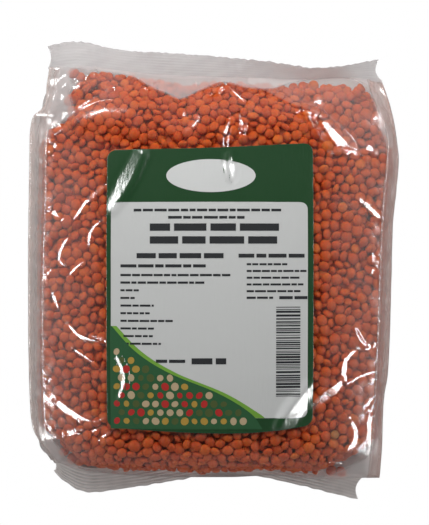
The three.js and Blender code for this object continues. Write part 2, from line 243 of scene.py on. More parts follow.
# How far each layer of print lies above the label
PANEL_LIFT = 0.08
RIM_LIFT = 0.12
TYPE_LIFT = 0.16
DISC_LIFT = 0.20

# Lines of type over the two columns and under them: from x, to x, y, height
HEAD_LINES = [(-39.5, 33, 30.0, 1.3), (-22.5, 15, 26.4, 1.3), (-31.5, 32.5, 21.6, 3.6),
              (-31.5, 31, 15.3, 3.6), (-38, 8, 7.6, 2.5), (12, 46, 7.6, 1.9), (-46, -2, 2.6, 1.5),
              (-46, 8, -1.9, 1.1), (-46, -4, -5.6, 1.1)]
FOOT_LINES = [(16, 29, -13.0, 1.1), (32, 46, -13.0, 1.5), (-28.5, -12.5, -44.2, 1.6),
              (-11, 6, -44.2, 3.0)]

# Both columns of type: each line from the top down as (from x, to x), the first line's y and the
# gap between lines
LEFT_COLUMN = [(-46, -36), (-46, -37.5), (-46, -29.5), (-46, -31.5), (-46, -20), (-46, -28.5),
               (-44.5, -30), (-44.5, -26)]
LEFT_COLUMN_TOP = -9.4
LEFT_COLUMN_GAP = 3.75
RIGHT_COLUMN = [(16, 36), (16, 45.5), (16, 42), (16, 44), (16, 42.5)]
RIGHT_COLUMN_TOP = 3.4
RIGHT_COLUMN_GAP = 3.3

# The upright field of stripes, and the empty oval: middle and half axes
STRIPES_LEFT = 30.5
STRIPES_RIGHT = 42.5
STRIPES_HIGH = -17.5
STRIPES_LOW = -62
OVAL = (-1.5, 47.0, 22.0, 8.2)

# The green sweep at the lower left, its light rim and the field of discs on it, as (y, x)
SWEEP_EDGE = [(-78, 24), (-70, 18), (-60, 2), (-50, -22), (-40, -38), (-27, -50.5)]
RIM_EDGE = [(-74, 27), (-70, 22), (-60, 5.5), (-50, -18.5), (-40, -35), (-26, -49)]
DISC_EDGE = [(-78, 21), (-70, 14), (-60, -2), (-50, -26), (-40, -42), (-27, -53)]
SWEEP_LOW = -78.0
SWEEP_HIGH = -27.0
SWEEP_LEFT = -51.2
DISC_ROWS = (-74.0, -34.0, 4.3)
DISC_LEFT = -48.0
DISC_STEP = 4.8
DISC_COLOURS = {
    "cream": (0.55, 0.42, 0.26),
    "red": (0.50, 0.035, 0.03),
    "yellow": (0.48, 0.30, 0.06),
    "olive": (0.09, 0.12, 0.04),
}
PRINT_ROUGHNESS = 0.17
TYPE_ROUGHNESS = 0.2

# Refractive index of the film, which its inner face turns over so that it doesn't act as a prism
FILM_INDEX = 1.55


def mix(a, b, share):
    """Straight from a where the share is 0 to b where it is 1."""
    return a + (b - a) * share


def smooth(low, high, value):
    """0 below low, 1 above high, 3t^2 - 2t^3 between them."""
    t = np.clip((value - low) / (high - low), 0, 1)
    return t * t * (3 - 2 * t)


def along(knots, at):
    """Cubic through (place, value) knots, whose slope at a knot is taken across its neighbours:
    v = v0 + (v1 - v0) h + w s (1 - s) ((1 - s) m0 - s m1), with h = 3s^2 - 2s^3 and w the gap."""
    places, values = np.array(knots, float).T
    last = len(places) - 1
    order = np.arange(last + 1)
    before = np.maximum(order - 1, 0)
    after = np.minimum(order + 1, last)
    slopes = (values[after] - values[before]) / (places[after] - places[before])
    at = np.clip(np.asarray(at, float), places[0], places[-1])
    i = np.clip(np.searchsorted(places, at, side="right") - 1, 0, last - 1)
    gap = places[i + 1] - places[i]
    s = (at - places[i]) / gap
    bend = gap * s * (1 - s) * ((1 - s) * slopes[i] - s * slopes[i + 1])
    return mix(values[i], values[i + 1], s * s * (3 - 2 * s)) + bend


def rounded_line(points, count):
    """A smooth line through points, as count points evenly spaced by length."""
    points = np.array(points, float)
    steps = np.hypot(*np.diff(points, axis=0).T)
    run = np.concatenate([[0], np.cumsum(steps)])
    at = np.linspace(0, run[-1], count)
    return np.stack([along(list(zip(run, points[:, k])), at) for k in (0, 1)], axis=1)


def line_distance(line, x, y):
    """Distance from points to a line, and the share of the line's length at the nearest place."""
    nearest = np.full(np.shape(x), 1e9)
    place = np.zeros(np.shape(x))
    parts = len(line) - 1
    for k in range(parts):
        ax, ay = line[k]
        dx, dy = line[k + 1] - line[k]
        share = np.clip(((x - ax) * dx + (y - ay) * dy) / (dx * dx + dy * dy + 1e-12), 0, 1)
        away = np.hypot(x - ax - share * dx, y - ay - share * dy)
        closer = away < nearest
        place = np.where(closer, (k + share) / parts, place)
        nearest = np.where(closer, away, nearest)
    return nearest, place


def ripple(x, y, seed, longest, shortest, waves=14):
    """Sum of sine waves of random direction and phase, about -1 to 1."""
    random = np.random.default_rng(seed)
    total = np.zeros(np.broadcast(x, y).shape)
    for _ in range(waves):
        length = random.uniform(shortest, longest)
        turn = random.uniform(0, 2 * math.pi)
        phase = random.uniform(0, 2 * math.pi)
        step = 2 * math.pi / length
        total += np.sin(step * (x * math.cos(turn) + y * math.sin(turn)) + phase)
    return total / math.sqrt(waves)


def broad_relief(x, y):
    """Sum of height * exp(-(d / width)^2), d being the distance to each crease."""
    total = np.zeros(np.shape(x))
    for start, end, height, width in CREASES:
        away, _ = line_distance(np.array([start, end], float), x, y)
        total += height * np.exp(-(away / width) ** 2)
    return total


def random_folds(seed):
    """Small folds of the front film along both side seams and the top seal."""
    random = np.random.default_rng(seed)
    found = []
    for _ in range(SIDE_FOLDS):
        y = random.uniform(-92, 84)
        side = random.choice([-1, 1])
        x = along(LEFT_SEAM if side < 0 else RIGHT_SEAM, y) - side * random.uniform(1, 6)
        reach = random.uniform(1, 3)
        slant = random.uniform(-3, 3)
        found.append(([(x, y), (x + reach, y + slant)], random.uniform(0.25, 0.45)))
    for _ in range(TOP_FOLDS):
        x = random.uniform(-74, 74)
        y = along(TOP_ROOT, x) - random.uniform(2, 9)
        found.append(([(x, y), (x + random.uniform(-3, 3), y - random.uniform(1, 3))], 0.35))
    return found


def broad_height(x, y, bottom=BOTTOM_END):
    """The front film without its small folds, and the share of its relief that is left. Across,
    z = edge + (crown - edge) (1 - |s|^2.5), s being the place from -1 to 1. It falls to the top
    seal by 1 - t^2 and round the bottom end by sqrt(1 - t^2)."""
    left, right = along(LEFT_SEAM, y), along(RIGHT_SEAM, y)
    share = np.clip((2 * x - left - right) / (right - left), -1, 1)
    edge = along(FRONT_EDGE, y)
    arch = edge + (along(CROWN, y) - edge) * (1 - np.abs(share) ** CROWN_POWER)
    fall = np.clip((y - TOP_START) / (along(TOP_ROOT, x) - TOP_START), 0, 1)
    full = 1 - fall * fall
    low = along(TOP_ROOT_Z, x) + SEAL_THICK / 2
    height = mix(low, arch, full) + broad_relief(x, y) * np.sqrt(full)
    down = np.clip((BOTTOM_START - y) / (BOTTOM_START - along(bottom, x)), 0, 1)
    round_end = np.sqrt(1 - down * down)
    return mix(END_BULGE_Z, height, round_end), np.sqrt(full) * round_end


def shifted(knots, value):
    """The same knots with a value added to each."""
    return [(place, size + value) for place, size in knots]


def lamp_place(azimuth, from_zenith, distance):
    """The place at an azimuth from +X, an angle from overhead and a distance from the middle."""
    a, z = math.radians(azimuth), math.radians(from_zenith)
    out = distance * math.sin(z)
    return out * math.cos(a), out * math.sin(a), distance * math.cos(z)


def lamp_row():
    """Places every 2 degrees along the arcs of lamps."""
    return np.array([lamp_place(azimuth, zenith, LAMP_DISTANCE) for first, last, zenith, _ in LAMP_ARCS
                     for azimuth in range(first, last + 1, 2)])


def mirror_slopes(places):
    """For each place, the slopes (dz/dx, dz/dy) that mirror each lamp to the camera: those of a
    plane square to the line half-way between both."""
    to_camera = np.array(CAMERA) - places
    to_lamp = lamp_row()[None, :, :] - places[:, None, :]
    half = to_camera[:, None, :] / np.linalg.norm(to_camera, axis=1)[:, None, None]
    half = half + to_lamp / np.linalg.norm(to_lamp, axis=2, keepdims=True)
    return -half[:, :, :2] / half[:, :, 2:]


class Relief:
    """Height of the front film's small folds and faint ripple over its broad shape, worked out
    once over a fine grid and read from it by bilinear steps."""

    STEP = 0.25
    ACROSS = (-96, 96)
    ALONG = (-124, 122)

    def __init__(self, folds, wave, steepest):
        """From folds, a share of the full ripple, and the steepest rise along a fold."""
        self.steepest = steepest
        self.x = np.arange(self.ACROSS[0], self.ACROSS[1] + 0.1, self.STEP)
        self.y = np.arange(self.ALONG[0], self.ALONG[1] + 0.1, self.STEP)
        self.grid_x, self.grid_y = np.meshgrid(self.x, self.y, indexing="ij")
        self.broad, full = broad_height(self.grid_x, self.grid_y)
        slow = ripple(self.grid_x, self.grid_y, 3, 26, 9)
        quick = ripple(self.grid_x, self.grid_y, 4, 7, 3.5)
        self.total = self.broad + (SLOW_RIPPLE * slow + QUICK_RIPPLE * quick) * wave * full
        from_corner = np.hypot(self.grid_x - CRUMPLED_CORNER[0], self.grid_y - CRUMPLED_CORNER[1])
        crumple = ripple(self.grid_x, self.grid_y, 5, 13, 5)
        self.total += CRUMPLE * wave * smooth(17, 6, from_corner) * crumple
        for points, width in folds:
            steps = 9 if len(points) < 5 else 21
            self.add_strip(rounded_line(points, steps), width)
        self.table = self.total - self.broad

    def strip_shape(self, line):
        """Along a fold: the film's height and slope across, and a strip's slope across and rise.
        The strip mirrors the lamp that needs the least change of slope, above all along it."""
        i, j = np.searchsorted(self.x, line[:, 0]), np.searchsorted(self.y, line[:, 1])
        level = self.broad[i, j]
        slope = np.stack([self.broad[i + 2, j] - self.broad[i - 2, j],
                          self.broad[i, j + 2] - self.broad[i, j - 2]], axis=1) / (4 * self.STEP)
        way = np.gradient(line, axis=0)
        run = np.linalg.norm(way, axis=1)
        way /= run[:, None]
        over = np.stack([-way[:, 1], way[:, 0]], axis=1)
        ahead, across = np.sum(slope * way, axis=1), np.sum(slope * over, axis=1)
        wanted = mirror_slopes(np.column_stack([line, level]))
        more_ahead = np.sum(wanted * way[:, None], axis=2) - ahead[:, None]
        more_across = np.sum(wanted * over[:, None], axis=2) - across[:, None]
        cost = 3 * np.abs(more_ahead) + np.abs(more_across)
        sides = [np.where(more_across > 0, cost, 9), np.where(more_across > 0, 9, cost)]
        cost = min(sides, key=lambda side: side.min(axis=1).sum())
        best = cost.argmin(axis=1)
        row = np.arange(len(line))
        rise = np.cumsum(np.clip(more_ahead[row, best], -self.steepest, self.steepest) * run)
        return level, across, across + more_across[row, best], rise - rise.min(), over

    def add_strip(self, line, width):
        """Blends in one strip, narrow at its ends and lifted so that it stays above the film."""
        border = 2.0 * width + 0.9
        low, high = line.min(axis=0) - width - border, line.max(axis=0) + width + border
        window = (slice(*np.searchsorted(self.x, [low[0], high[0]])),
                  slice(*np.searchsorted(self.y, [low[1], high[1]])))
        x, y = self.grid_x[window], self.grid_y[window]
        away, place = line_distance(line, x, y)
        level, across, tilt, rise, over = self.strip_shape(line)
        knots = np.linspace(0, 1, len(line))

        def at(values):
            """Values of the line's points, read at the place nearest to each grid point."""
            return np.interp(place, knots, values)

        half = width * (0.45 + 0.55 * np.sin(math.pi * place))
        offset = (x - at(line[:, 0])) * at(over[:, 0]) + (y - at(line[:, 1])) * at(over[:, 1])
        lift = at(np.abs(tilt - across)) * half + at(rise)
        strip = at(level) + lift + at(tilt) * offset
        share = 1 - smooth(half, half + border, away)
        self.total[window] = mix(self.total[window], strip, share)

    def __call__(self, x, y):
        """The table's height at (x, y), straight between its four nearest points."""
        u = np.clip((x - self.x[0]) / self.STEP, 0, len(self.x) - 1.001)
        v = np.clip((y - self.y[0]) / self.STEP, 0, len(self.y) - 1.001)
        i, j = u.astype(int), v.astype(int)
        near = mix(self.table[i, j], self.table[i, j + 1], v - j)
        far = mix(self.table[i + 1, j], self.table[i + 1, j + 1], v - j)
        return mix(near, far, u - i)


def contact_gap(x, y):
    """1 where the front film stands off the lentils below the top seal, 0 where it touches."""
    return smooth(-0.4, 1.2, y - along(CONTACT_TOP, x))


class Loft:
    """A closed skin round a filled bag, as rings of points from the bottom end to the top end.
    Each ring is a back row, a right side, a front row and a left side. Its steps are counted
    across the front, across the back, up a side, along the main part and along either end."""

    def __init__(self, left, right, bottom, bottom_root, top, inset, bulge, fine, steps):
        self.left = left
        self.right = right
        self.bottom = bottom
        self.bottom_root = bottom_root
        self.top = top
        self.inset = inset
        self.bulge = bulge
        self.fine = fine
        self.across, self.back_across, self.side, self.main, self.cap = steps

    def front_height(self, x, y):
        """The broad shape with its small folds, less the inset; the lentils' top also sinks where
        the film stands off them."""
        height, full = broad_height(x, y, self.bottom)
        if self.fine:
            return height + self.fine(x, y) - self.inset
        return height - self.inset - BED_SINK * contact_gap(x, y) * full

    def back_height(self, x, y):
        """Flat at z = 0, turned up as t^2 at both sides and at both ends."""
        left, right = along(LEFT_SEAM, y), along(RIGHT_SEAM, y)
        share = np.abs((2 * x - left - right) / (right - left))
        turned = np.clip((share - 1 + CORNER_SHARE) / CORNER_SHARE, 0, 1)
        edge = CORNER_Z * turned ** 2
        to_top = np.clip(1 - (along(TOP_ROOT, x) - y) / BACK_TOP_LIFT, 0, 1)
        to_bottom = np.clip(1 - (y - along(BOTTOM_ROOT, x)) / BACK_BOTTOM_LIFT, 0, 1)
        upper = mix(edge, along(TOP_ROOT_Z, x) - SEAL_THICK / 2, to_top ** 2)
        lower = mix(edge, BOTTOM_ROOT_Z - SEAL_THICK / 2, to_bottom ** 2)
        return np.where(to_top > 0, upper, lower) + self.inset

    def front_points(self, x, zone, part):
        """The front row at a part of a zone, straight along the main zone and the top. At the
        bottom end y goes out and back by sin(pi part), and past its furthest reach z falls to the
        seal's root by 1 + cos(pi part)."""
        if zone == "main":
            y = np.full_like(x, mix(BOTTOM_START, TOP_START, part))
            return np.stack([x, y, self.front_height(x, y)], axis=1)
        if zone == "top":
            y = mix(TOP_START, along(self.top, x), part)
            return np.stack([x, y, self.front_height(x, y)], axis=1)
        turn = part * math.pi
        reach = along(self.bottom, x)
        if part <= 0.5:
            y = mix(BOTTOM_START, reach, math.sin(turn))
            return np.stack([x, y, self.front_height(x, y)], axis=1)
        low = BOTTOM_ROOT_Z + SEAL_THICK / 2 + self.inset
        y = mix(along(self.bottom_root, x), reach, math.sin(turn))
        return np.stack([x, y, mix(low, END_BULGE_Z, 1 + math.cos(turn)) + 0 * x], axis=1)

    def back_points(self, x, zone, part):
        """The back row, straight along each zone."""
        ends = {
            "main": (BOTTOM_START, TOP_START),
            "top": (TOP_START, along(self.top, x)),
            "bottom": (BOTTOM_START, along(self.bottom_root, x)),
        }[zone]
        y = mix(ends[0], ends[1], part) + 0 * x
        return np.stack([x, y, self.back_height(x, y)], axis=1)

    def side_points(self, low, high, out):
        """From the back row's end to the front row's, plus bulge * sin(pi s) outwards."""
        s = np.arange(1, self.side) / self.side
        tall = np.clip((high[2] - low[2]) / END_BULGE_Z, 0, 1)
        points = mix(low[None, :], high[None, :], s[:, None])
        bulge = self.bulge * tall * np.sin(math.pi * s)
        if self.fine:
            bulge = bulge + SIDE_CRUMPLE * tall * ripple(points[:, 1], points[:, 2], 21, 17, 6)
        points[:, 0] += out * (bulge - self.inset * 0.3)
        return points

    def ring(self, zone, part):
        """One closed ring, whose back and front rows end on the two seams, each where the row's y
        near that seam puts it."""
        rows = []
        near_seams = np.array([-60.0, 60.0])
        for points_of, count in ((self.back_points, self.back_across), (self.front_points, self.across)):
            y = points_of(near_seams, zone, part)[:, 1]
            left, right = float(along(self.left, y[0])), float(along(self.right, y[1]))
            rows.append(points_of(np.linspace(left, right, count + 1), zone, part))
        back, front = rows
        right_side = self.side_points(back[-1], front[-1], 1)
        left_side = self.side_points(back[0], front[0], -1)
        return np.concatenate([back, right_side, front[::-1], left_side[::-1]])

    def rings(self):
        """All rings, as an array of rings by points by three."""
        found = [self.ring("bottom", 1 - i / self.cap) for i in range(self.cap)]
        found += [self.ring("main", i / self.main) for i in range(self.main + 1)]
        found += [self.ring("top", (i + 1) / self.cap) for i in range(self.cap)]
        return np.array(found)


def build_mesh(name, points, faces, materials, attributes=None):
    """A mesh object from mm points and face index arrays, each array with one count of corners."""
    mesh = bpy.data.meshes.new(name)
    points = (np.asarray(points, float) + np.array(FRAME_SHIFT)) / 1000
    corner_counts = np.concatenate([np.full(len(f), f.shape[1]) for f in faces])
    corners = np.concatenate([f.reshape(-1) for f in faces])
    mesh.vertices.add(len(points))
    mesh.vertices.foreach_set("co", points.reshape(-1))
    mesh.loops.add(len(corners))
    mesh.loops.foreach_set("vertex_index", corners.astype(np.int32))
    mesh.polygons.add(len(corner_counts))
    starts = np.concatenate([[0], np.cumsum(corner_counts)[:-1]])
    mesh.polygons.foreach_set("loop_start", starts.astype(np.int32))
    mesh.polygons.foreach_set("use_smooth", np.ones(len(corner_counts), bool))
    mesh.update(calc_edges=True)
    mesh.validate()
    for label, values in (attributes or {}).items():
        layer = mesh.attributes.new(label, "FLOAT", "POINT")
        layer.data.foreach_set("value", np.asarray(values, np.float32).reshape(-1))
    for material in materials:
        mesh.materials.append(material)
    piece = bpy.data.objects.new(name, mesh)
    bpy.context.scene.collection.objects.link(piece)
    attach(piece, "root")
    return piece


def grid_faces(rows, columns, closed=False):
    """Quads over a grid of points, wrapping round the columns when closed."""
    width = columns if closed else columns - 1
    r, c = np.meshgrid(np.arange(rows - 1), np.arange(width), indexing="ij")
    a = r * columns + c
    b = r * columns + (c + 1) % columns
    return np.stack([a, b, b + columns, a + columns], axis=-1).reshape(-1, 4)


def end_strip(loft, first, flip):
    """Faces that close a ring whose back and front rows almost meet: a strip of triangles between
    both rows, and a fan over either side."""
    across_back, across_front, side = loft.back_across, loft.across, loft.side
    size = across_back + across_front + 2 * side
    front = across_back + side
    count = max(across_back, across_front)
    steps = np.arange(count + 1)
    back_row = np.round(steps * across_back / count).astype(int)
    front_row = front + across_front - np.round(steps * across_front / count).astype(int)
    on_front = np.stack([back_row[:-1], front_row[:-1], front_row[1:]], axis=1)
    on_back = np.stack([back_row[:-1], front_row[1:], back_row[1:]], axis=1)
    right = np.arange(across_back, front - 1)
    left = np.arange(front + across_front, size - 1)
    faces = first + np.concatenate([
        on_front[front_row[:-1] != front_row[1:]],
        on_back[back_row[:-1] != back_row[1:]],
        np.stack([right, np.full_like(right, front), right + 1], axis=1),
        np.stack([left, np.zeros_like(left), left + 1], axis=1),
    ])
    return faces[:, ::-1] if flip else faces


def tube_faces(loft, count, closed_start, closed_finish):
    """Outward faces of count rings, closed by a strip at either end or not."""
    size = 2 * loft.side + loft.back_across + loft.across
    faces = [grid_faces(count, size, closed=True)[:, ::-1]]
    if closed_start:
        faces.append(end_strip(loft, 0, True))
    if closed_finish:
        faces.append(end_strip(loft, (count - 1) * size, False))
    return faces


def slab(grid, thickness):
    """Points and faces of a closed sheet of even thickness over a grid of points."""
    rows, columns, _ = grid.shape
    over = np.gradient(grid, axis=1)
    down = np.gradient(grid, axis=0)
    normal = np.cross(over, down)
    normal /= np.linalg.norm(normal, axis=2, keepdims=True) + 1e-9
    normal *= np.where(normal[:, :, 2:3].mean() < 0, -1, 1)
    upper = grid + normal * thickness / 2
    lower = grid - normal * thickness / 2
    under = rows * columns
    top = grid_faces(rows, columns)
    rim = np.concatenate([
        np.arange(columns),
        np.arange(1, rows) * columns + columns - 1,
        rows * columns - 2 - np.arange(columns - 1),
        (rows - 2 - np.arange(rows - 2)) * columns,
    ])
    after = np.roll(rim, -1)
    wall = np.stack([rim, rim + under, after + under, after], axis=1)
    a, b, d = grid[0, 0], grid[0, 1], grid[1, 0]
    upward = np.cross(b - a, d - a)[2] > 0
    faces = np.concatenate([top, top[:, ::-1] + under, wall])
    points = np.concatenate([upper.reshape(-1, 3), lower.reshape(-1, 3)])
    return points, (faces if upward else faces[:, ::-1])


# Materials


def new_material(name):
    """An empty material, its nodes and links, and its output node."""
    material = bpy.data.materials.new(name)
    material.use_nodes = True
    nodes = material.node_tree.nodes
    nodes.clear()
    output = nodes.new("ShaderNodeOutputMaterial")
    return material, nodes, material.node_tree.links, output


def node_of(nodes, kind, values):
    """A new node with some of its inputs set."""
    node = nodes.new(kind)
    for socket, value in values.items():
        node.inputs[socket].default_value = value
    return node


def attribute_of(nodes, name):
    """The value that a mesh attribute has at each point."""
    node = nodes.new("ShaderNodeAttribute")
    node.attribute_name = name
    return node.outputs["Fac"]


def noise_of(nodes, links, scale):
    """Noise over a piece, with so many swings a metre."""
    place = nodes.new("ShaderNodeTexCoord")
    noise = node_of(nodes, "ShaderNodeTexNoise", {"Scale": scale, "Detail": 3.0})
    links.new(place.outputs["Object"], noise.inputs["Vector"])
    return noise.outputs["Fac"]


def ramp_of(nodes, links, source, stops):
    """The colour that a ramp of (place, colour) stops gives a value."""
    ramp = nodes.new("ShaderNodeValToRGB")
    elements = ramp.color_ramp.elements
    while len(elements) < len(stops):
        elements.new(0.5)
    for element, (place, colour) in zip(elements, stops):
        element.position = place
        element.color = (*colour, 1.0)
    links.new(source, ramp.inputs["Fac"])
    return ramp.outputs["Color"]


def map_range(nodes, links, source, low, high):
    """A value from 0 to 1 carried to one from low to high."""
    node = node_of(nodes, "ShaderNodeMapRange", {"To Min": low, "To Max": high})
    links.new(source, node.inputs["Value"])
    return node.outputs["Result"]


def mix_shaders(nodes, links, share, first, second):
    """The first shader where the share is 0 and the second where it is 1."""
    blend = nodes.new("ShaderNodeMixShader")
    links.new(share, blend.inputs["Fac"])
    links.new(first, blend.inputs[1])
    links.new(second, blend.inputs[2])
    return blend.outputs["Shader"]


def film_material(name, tint, roughness):
    """Clear glossy film: see-through where its haze attribute is 0, tinted where it is 1, under
    a mirror sheen that grows at a slant."""
    material, nodes, links, output = new_material(name)
    clear = nodes.new("ShaderNodeBsdfTransparent")
    cloud = node_of(nodes, "ShaderNodeBsdfPrincipled", {
        "Base Color": (*tint, 1.0),
        "Roughness": 0.6,
        "Specular IOR Level": 0.0,
    })
    body = mix_shaders(nodes, links, attribute_of(nodes, "haze"), clear.outputs["BSDF"],
                       cloud.outputs["BSDF"])
    fresnel = nodes.new("ShaderNodeFresnel")
    facing = nodes.new("ShaderNodeNewGeometry")
    index = map_range(nodes, links, facing.outputs["Backfacing"], FILM_INDEX, 1 / FILM_INDEX)
    links.new(index, fresnel.inputs["IOR"])
    sheen = node_of(nodes, "ShaderNodeBsdfGlossy", {"Color": (0.78, 0.78, 0.78, 1.0)})
    rough = map_range(nodes, links, noise_of(nodes, links, 240.0), roughness * 0.6, roughness * 1.4)
    links.new(rough, sheen.inputs["Roughness"])
    blend = mix_shaders(nodes, links, fresnel.outputs["Fac"], body, sheen.outputs["BSDF"])
    links.new(blend, output.inputs["Surface"])
    return material


def lentil_material():
    """Matte hulled lentils: a colour for each from its tone attribute, faintly mottled."""
    material, nodes, links, output = new_material("lentil")
    colour = ramp_of(nodes, links, attribute_of(nodes, "tone"), [
        (0.0, (0.47, 0.064, 0.009)),
        (0.35, (0.58, 0.086, 0.011)),
        (0.75, (0.65, 0.112, 0.012)),
        (0.93, (0.68, 0.150, 0.016)),
        (0.965, (0.42, 0.16, 0.04)),
        (1.0, (0.64, 0.30, 0.09)),
    ])
    mottle = map_range(nodes, links, noise_of(nodes, links, 900.0), 0.88, 1.10)
    shade = nodes.new("ShaderNodeMix")
    shade.data_type = "RGBA"
    shade.blend_type = "MULTIPLY"
    shade.inputs["Factor"].default_value = 1.0
    links.new(colour, shade.inputs["A"])
    links.new(mottle, shade.inputs["B"])
    surface = node_of(nodes, "ShaderNodeBsdfPrincipled", {
        "Roughness": 0.62,
        "Specular IOR Level": 0.12,
        "Subsurface Weight": 0.5,
        "Subsurface Radius": (1.0, 0.35, 0.15),
        "Subsurface Scale": 0.003,
    })
    links.new(shade.outputs["Result"], surface.inputs["Base Color"])
    links.new(surface.outputs["BSDF"], output.inputs["Surface"])
    return material


def crinkle_group():
    """A normal bent by fine creases that run slantwise: noise stretched along them."""
    group = bpy.data.node_groups.new("crinkle", "ShaderNodeTree")
    group.interface.new_socket(name="Normal", in_out="OUTPUT", socket_type="NodeSocketVector")
    nodes, links = group.nodes, group.links
    place = nodes.new("ShaderNodeTexCoord")
    turned = node_of(nodes, "ShaderNodeMapping", {
        "Rotation": (0.0, 0.0, math.radians(-35)),
        "Scale": (1.0, 0.12, 1.0),
    })
    noise = node_of(nodes, "ShaderNodeTexNoise", {"Scale": 700.0, "Detail": 3.0})
    bump = node_of(nodes, "ShaderNodeBump", {"Strength": 0.35, "Distance": 0.0004})
    output = nodes.new("NodeGroupOutput")
    links.new(place.outputs["Object"], turned.inputs["Vector"])
    links.new(turned.outputs["Vector"], noise.inputs["Vector"])
    links.new(noise.outputs["Fac"], bump.inputs["Height"])
    links.new(bump.outputs["Normal"], output.inputs["Normal"])
    return group


def plain_material(name, colour, roughness, crinkled=False):
    """One colour with a faint unevenness of its roughness, on a finely creased surface or not."""
    material, nodes, links, output = new_material(name)
    surface = node_of(nodes, "ShaderNodeBsdfPrincipled", {"Base Color": (*colour, 1.0)})
    rough = map_range(nodes, links, noise_of(nodes, links, 300.0), roughness * 0.8, roughness * 1.2)
    links.new(rough, surface.inputs["Roughness"])
    if crinkled:
        surface.inputs["Specular IOR Level"].default_value = 0.75
        creases = nodes.new("ShaderNodeGroup")
        creases.node_tree = bpy.data.node_groups["crinkle"]
        links.new(creases.outputs["Normal"], surface.inputs["Normal"])
    links.new(surface.outputs["BSDF"], output.inputs["Surface"])
    return material


def print_material(name, colour, roughness=PRINT_ROUGHNESS):
    """A printed colour on the label's finely creased gloss."""
    return plain_material(name, colour, roughness, crinkled=True)


# The film


def film_haze(x, y, is_front):
    """How cloudy the film is: clear on the lentils, cloudier where it stands off them, in the
    overlap at the top right, along the sides and past the lentil bed."""
    off_top = contact_gap(x, y) * (x > -60)
    bed_left, bed_right = along(BED_LEFT, y), along(BED_RIGHT, y)
    bed_low, bed_high = along(BED_BOTTOM, x), along(BED_TOP, x)
    outside = np.maximum.reduce([
        smooth(-1, 3, bed_left - x), smooth(-1, 3, x - bed_right),
        smooth(-1, 3, bed_low - y), smooth(-1, 3, y - bed_high),
    ])
    from_patch = np.hypot(x - STRAY_PATCH[0], y - STRAY_PATCH[1])
    outside *= 1 - 0.6 * smooth(6, 3, from_patch)
    lobe = smooth(-0.4, 1.2, x - along(LOBE_EDGE, y)) * smooth(57, 61, y)
    sides = smooth(45, 75, np.abs(x)) * smooth(92, 40, y)
    top_left = smooth(72, 88, y) * smooth(-35, -55, x)
    haze = HAZE_CLEAR + HAZE_OFF_TOP * off_top + HAZE_LOBE * lobe
    haze = haze + HAZE_SIDES * sides + HAZE_TOP_LEFT * top_left
    haze = np.maximum(haze, HAZE_PAST_BED * outside)
    haze = haze + 0.012 * ripple(x, y, 8, 30, 8)
    back = HAZE_BACK + HAZE_BACK_PAST_BED * outside
    return np.clip(np.where(is_front, haze, back), 0.0, 1.0)


def make_film(loft, material):
    """The filled body's film, parted half-way along into two pieces that meet under the label."""
    rings = loft.rings()
    count, size, _ = rings.shape
    half = count // 2
    column = np.arange(size)
    front_from = loft.back_across + loft.side
    front_row = (column >= front_from) & (column <= front_from + loft.across)
    halves = [("film_lower", rings[:half + 1], True), ("film_upper", rings[half:], False)]
    for name, part, lower in halves:
        points = part.reshape(-1, 3)
        haze = film_haze(points[:, 0], points[:, 1], np.tile(front_row, len(part)))
        faces = tube_faces(loft, len(part), lower, not lower)
        piece = build_mesh(name, points, faces, [material], {"haze": haze})
        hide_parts("bag")
    return rings


def make_fin(name, corners, tip_of, root_haze, edge_haze, material, seed):
    """A welded edge: straight across from the seam, where t is 0, to its free edge, where t is 1,
    with a slow and a quick wave that grow by t and a sag of sin(pi t)."""
    shares = np.linspace(-0.12, 1, 9)
    outwards = np.clip(shares, 0, 1)[None, :]
    tips = tip_of(corners)
    grid = mix(corners[:, None, :], tips[:, None, :], shares[None, :, None])
    wave = ripple(grid[:, :, 1], grid[:, :, 0] * 0.3, seed, 30, 7)
    grid[:, :, 2] += wave * FIN_WAVE * outwards
    grid[:, :, 2] += FIN_RIPPLE * ripple(grid[:, :, 0], grid[:, :, 1], seed + 2, 8, 3) * outwards
    grid[:, :, 2] -= FIN_SAG * np.sin(math.pi * outwards)
    points, faces = slab(grid, FIN_THICK)
    outer = np.tile(smooth(0.5, 0.95, shares), 2 * len(corners))
    patches = 0.04 * ripple(points[:, 0], points[:, 1], seed + 1, 24, 6)
    haze = mix(root_haze, edge_haze, outer) + patches
    return build_mesh(name, points, [faces], [material], {"haze": np.clip(haze, 0, 1)})


def make_fins(loft, rings, material, right_material):
    """Two front fins, from the furthest reach of the bottom end up, and two back fins."""
    right_front = loft.back_across + loft.side
    left_front = right_front + loft.across
    upper = slice(loft.cap // 2, None)

    def front_tips(edge, droop):
        """The drawn free edge, lower than the seam by the droop where the body is tall."""
        def tips(corners):
            x = along(edge, corners[:, 1])
            drop = droop * np.clip((corners[:, 2] - END_BULGE_Z) / 10, 0, 1)
            return np.stack([x, corners[:, 1], corners[:, 2] - drop], axis=1)
        return tips

    def back_tips(out):
        """A free edge down on the table, raised to the seam's height where the seam rises."""
        def tips(corners):
            raised = np.clip((corners[:, 2] - CORNER_Z) / 6, 0, 1)
            x = corners[:, 0] + out * BACK_FIN_REACH * (1 - 0.6 * raised)
            z = mix(BACK_FIN_TIP_Z + 0.3, corners[:, 2], raised)
            return np.stack([x, corners[:, 1], z], axis=1)
        return tips

    make_fin("fin_front_left", rings[upper, left_front], front_tips(LEFT_FIN, droop=1.2),
             root_haze=0.10, edge_haze=0.36, material=material, seed=31)
    # The right front fin's film carries a strong painted reddish cast of the lentils behind it.
    make_fin("fin_front_right", rings[upper, right_front], front_tips(RIGHT_FIN, droop=5.5),
             root_haze=0.20, edge_haze=0.40, material=right_material, seed=33)
    make_fin("fin_back_left", rings[:, 0], back_tips(-1),
             root_haze=0.20, edge_haze=0.30, material=material, seed=35)
    make_fin("fin_back_right", rings[:, loft.back_across], back_tips(1),
             root_haze=0.15, edge_haze=0.25, material=material, seed=37)


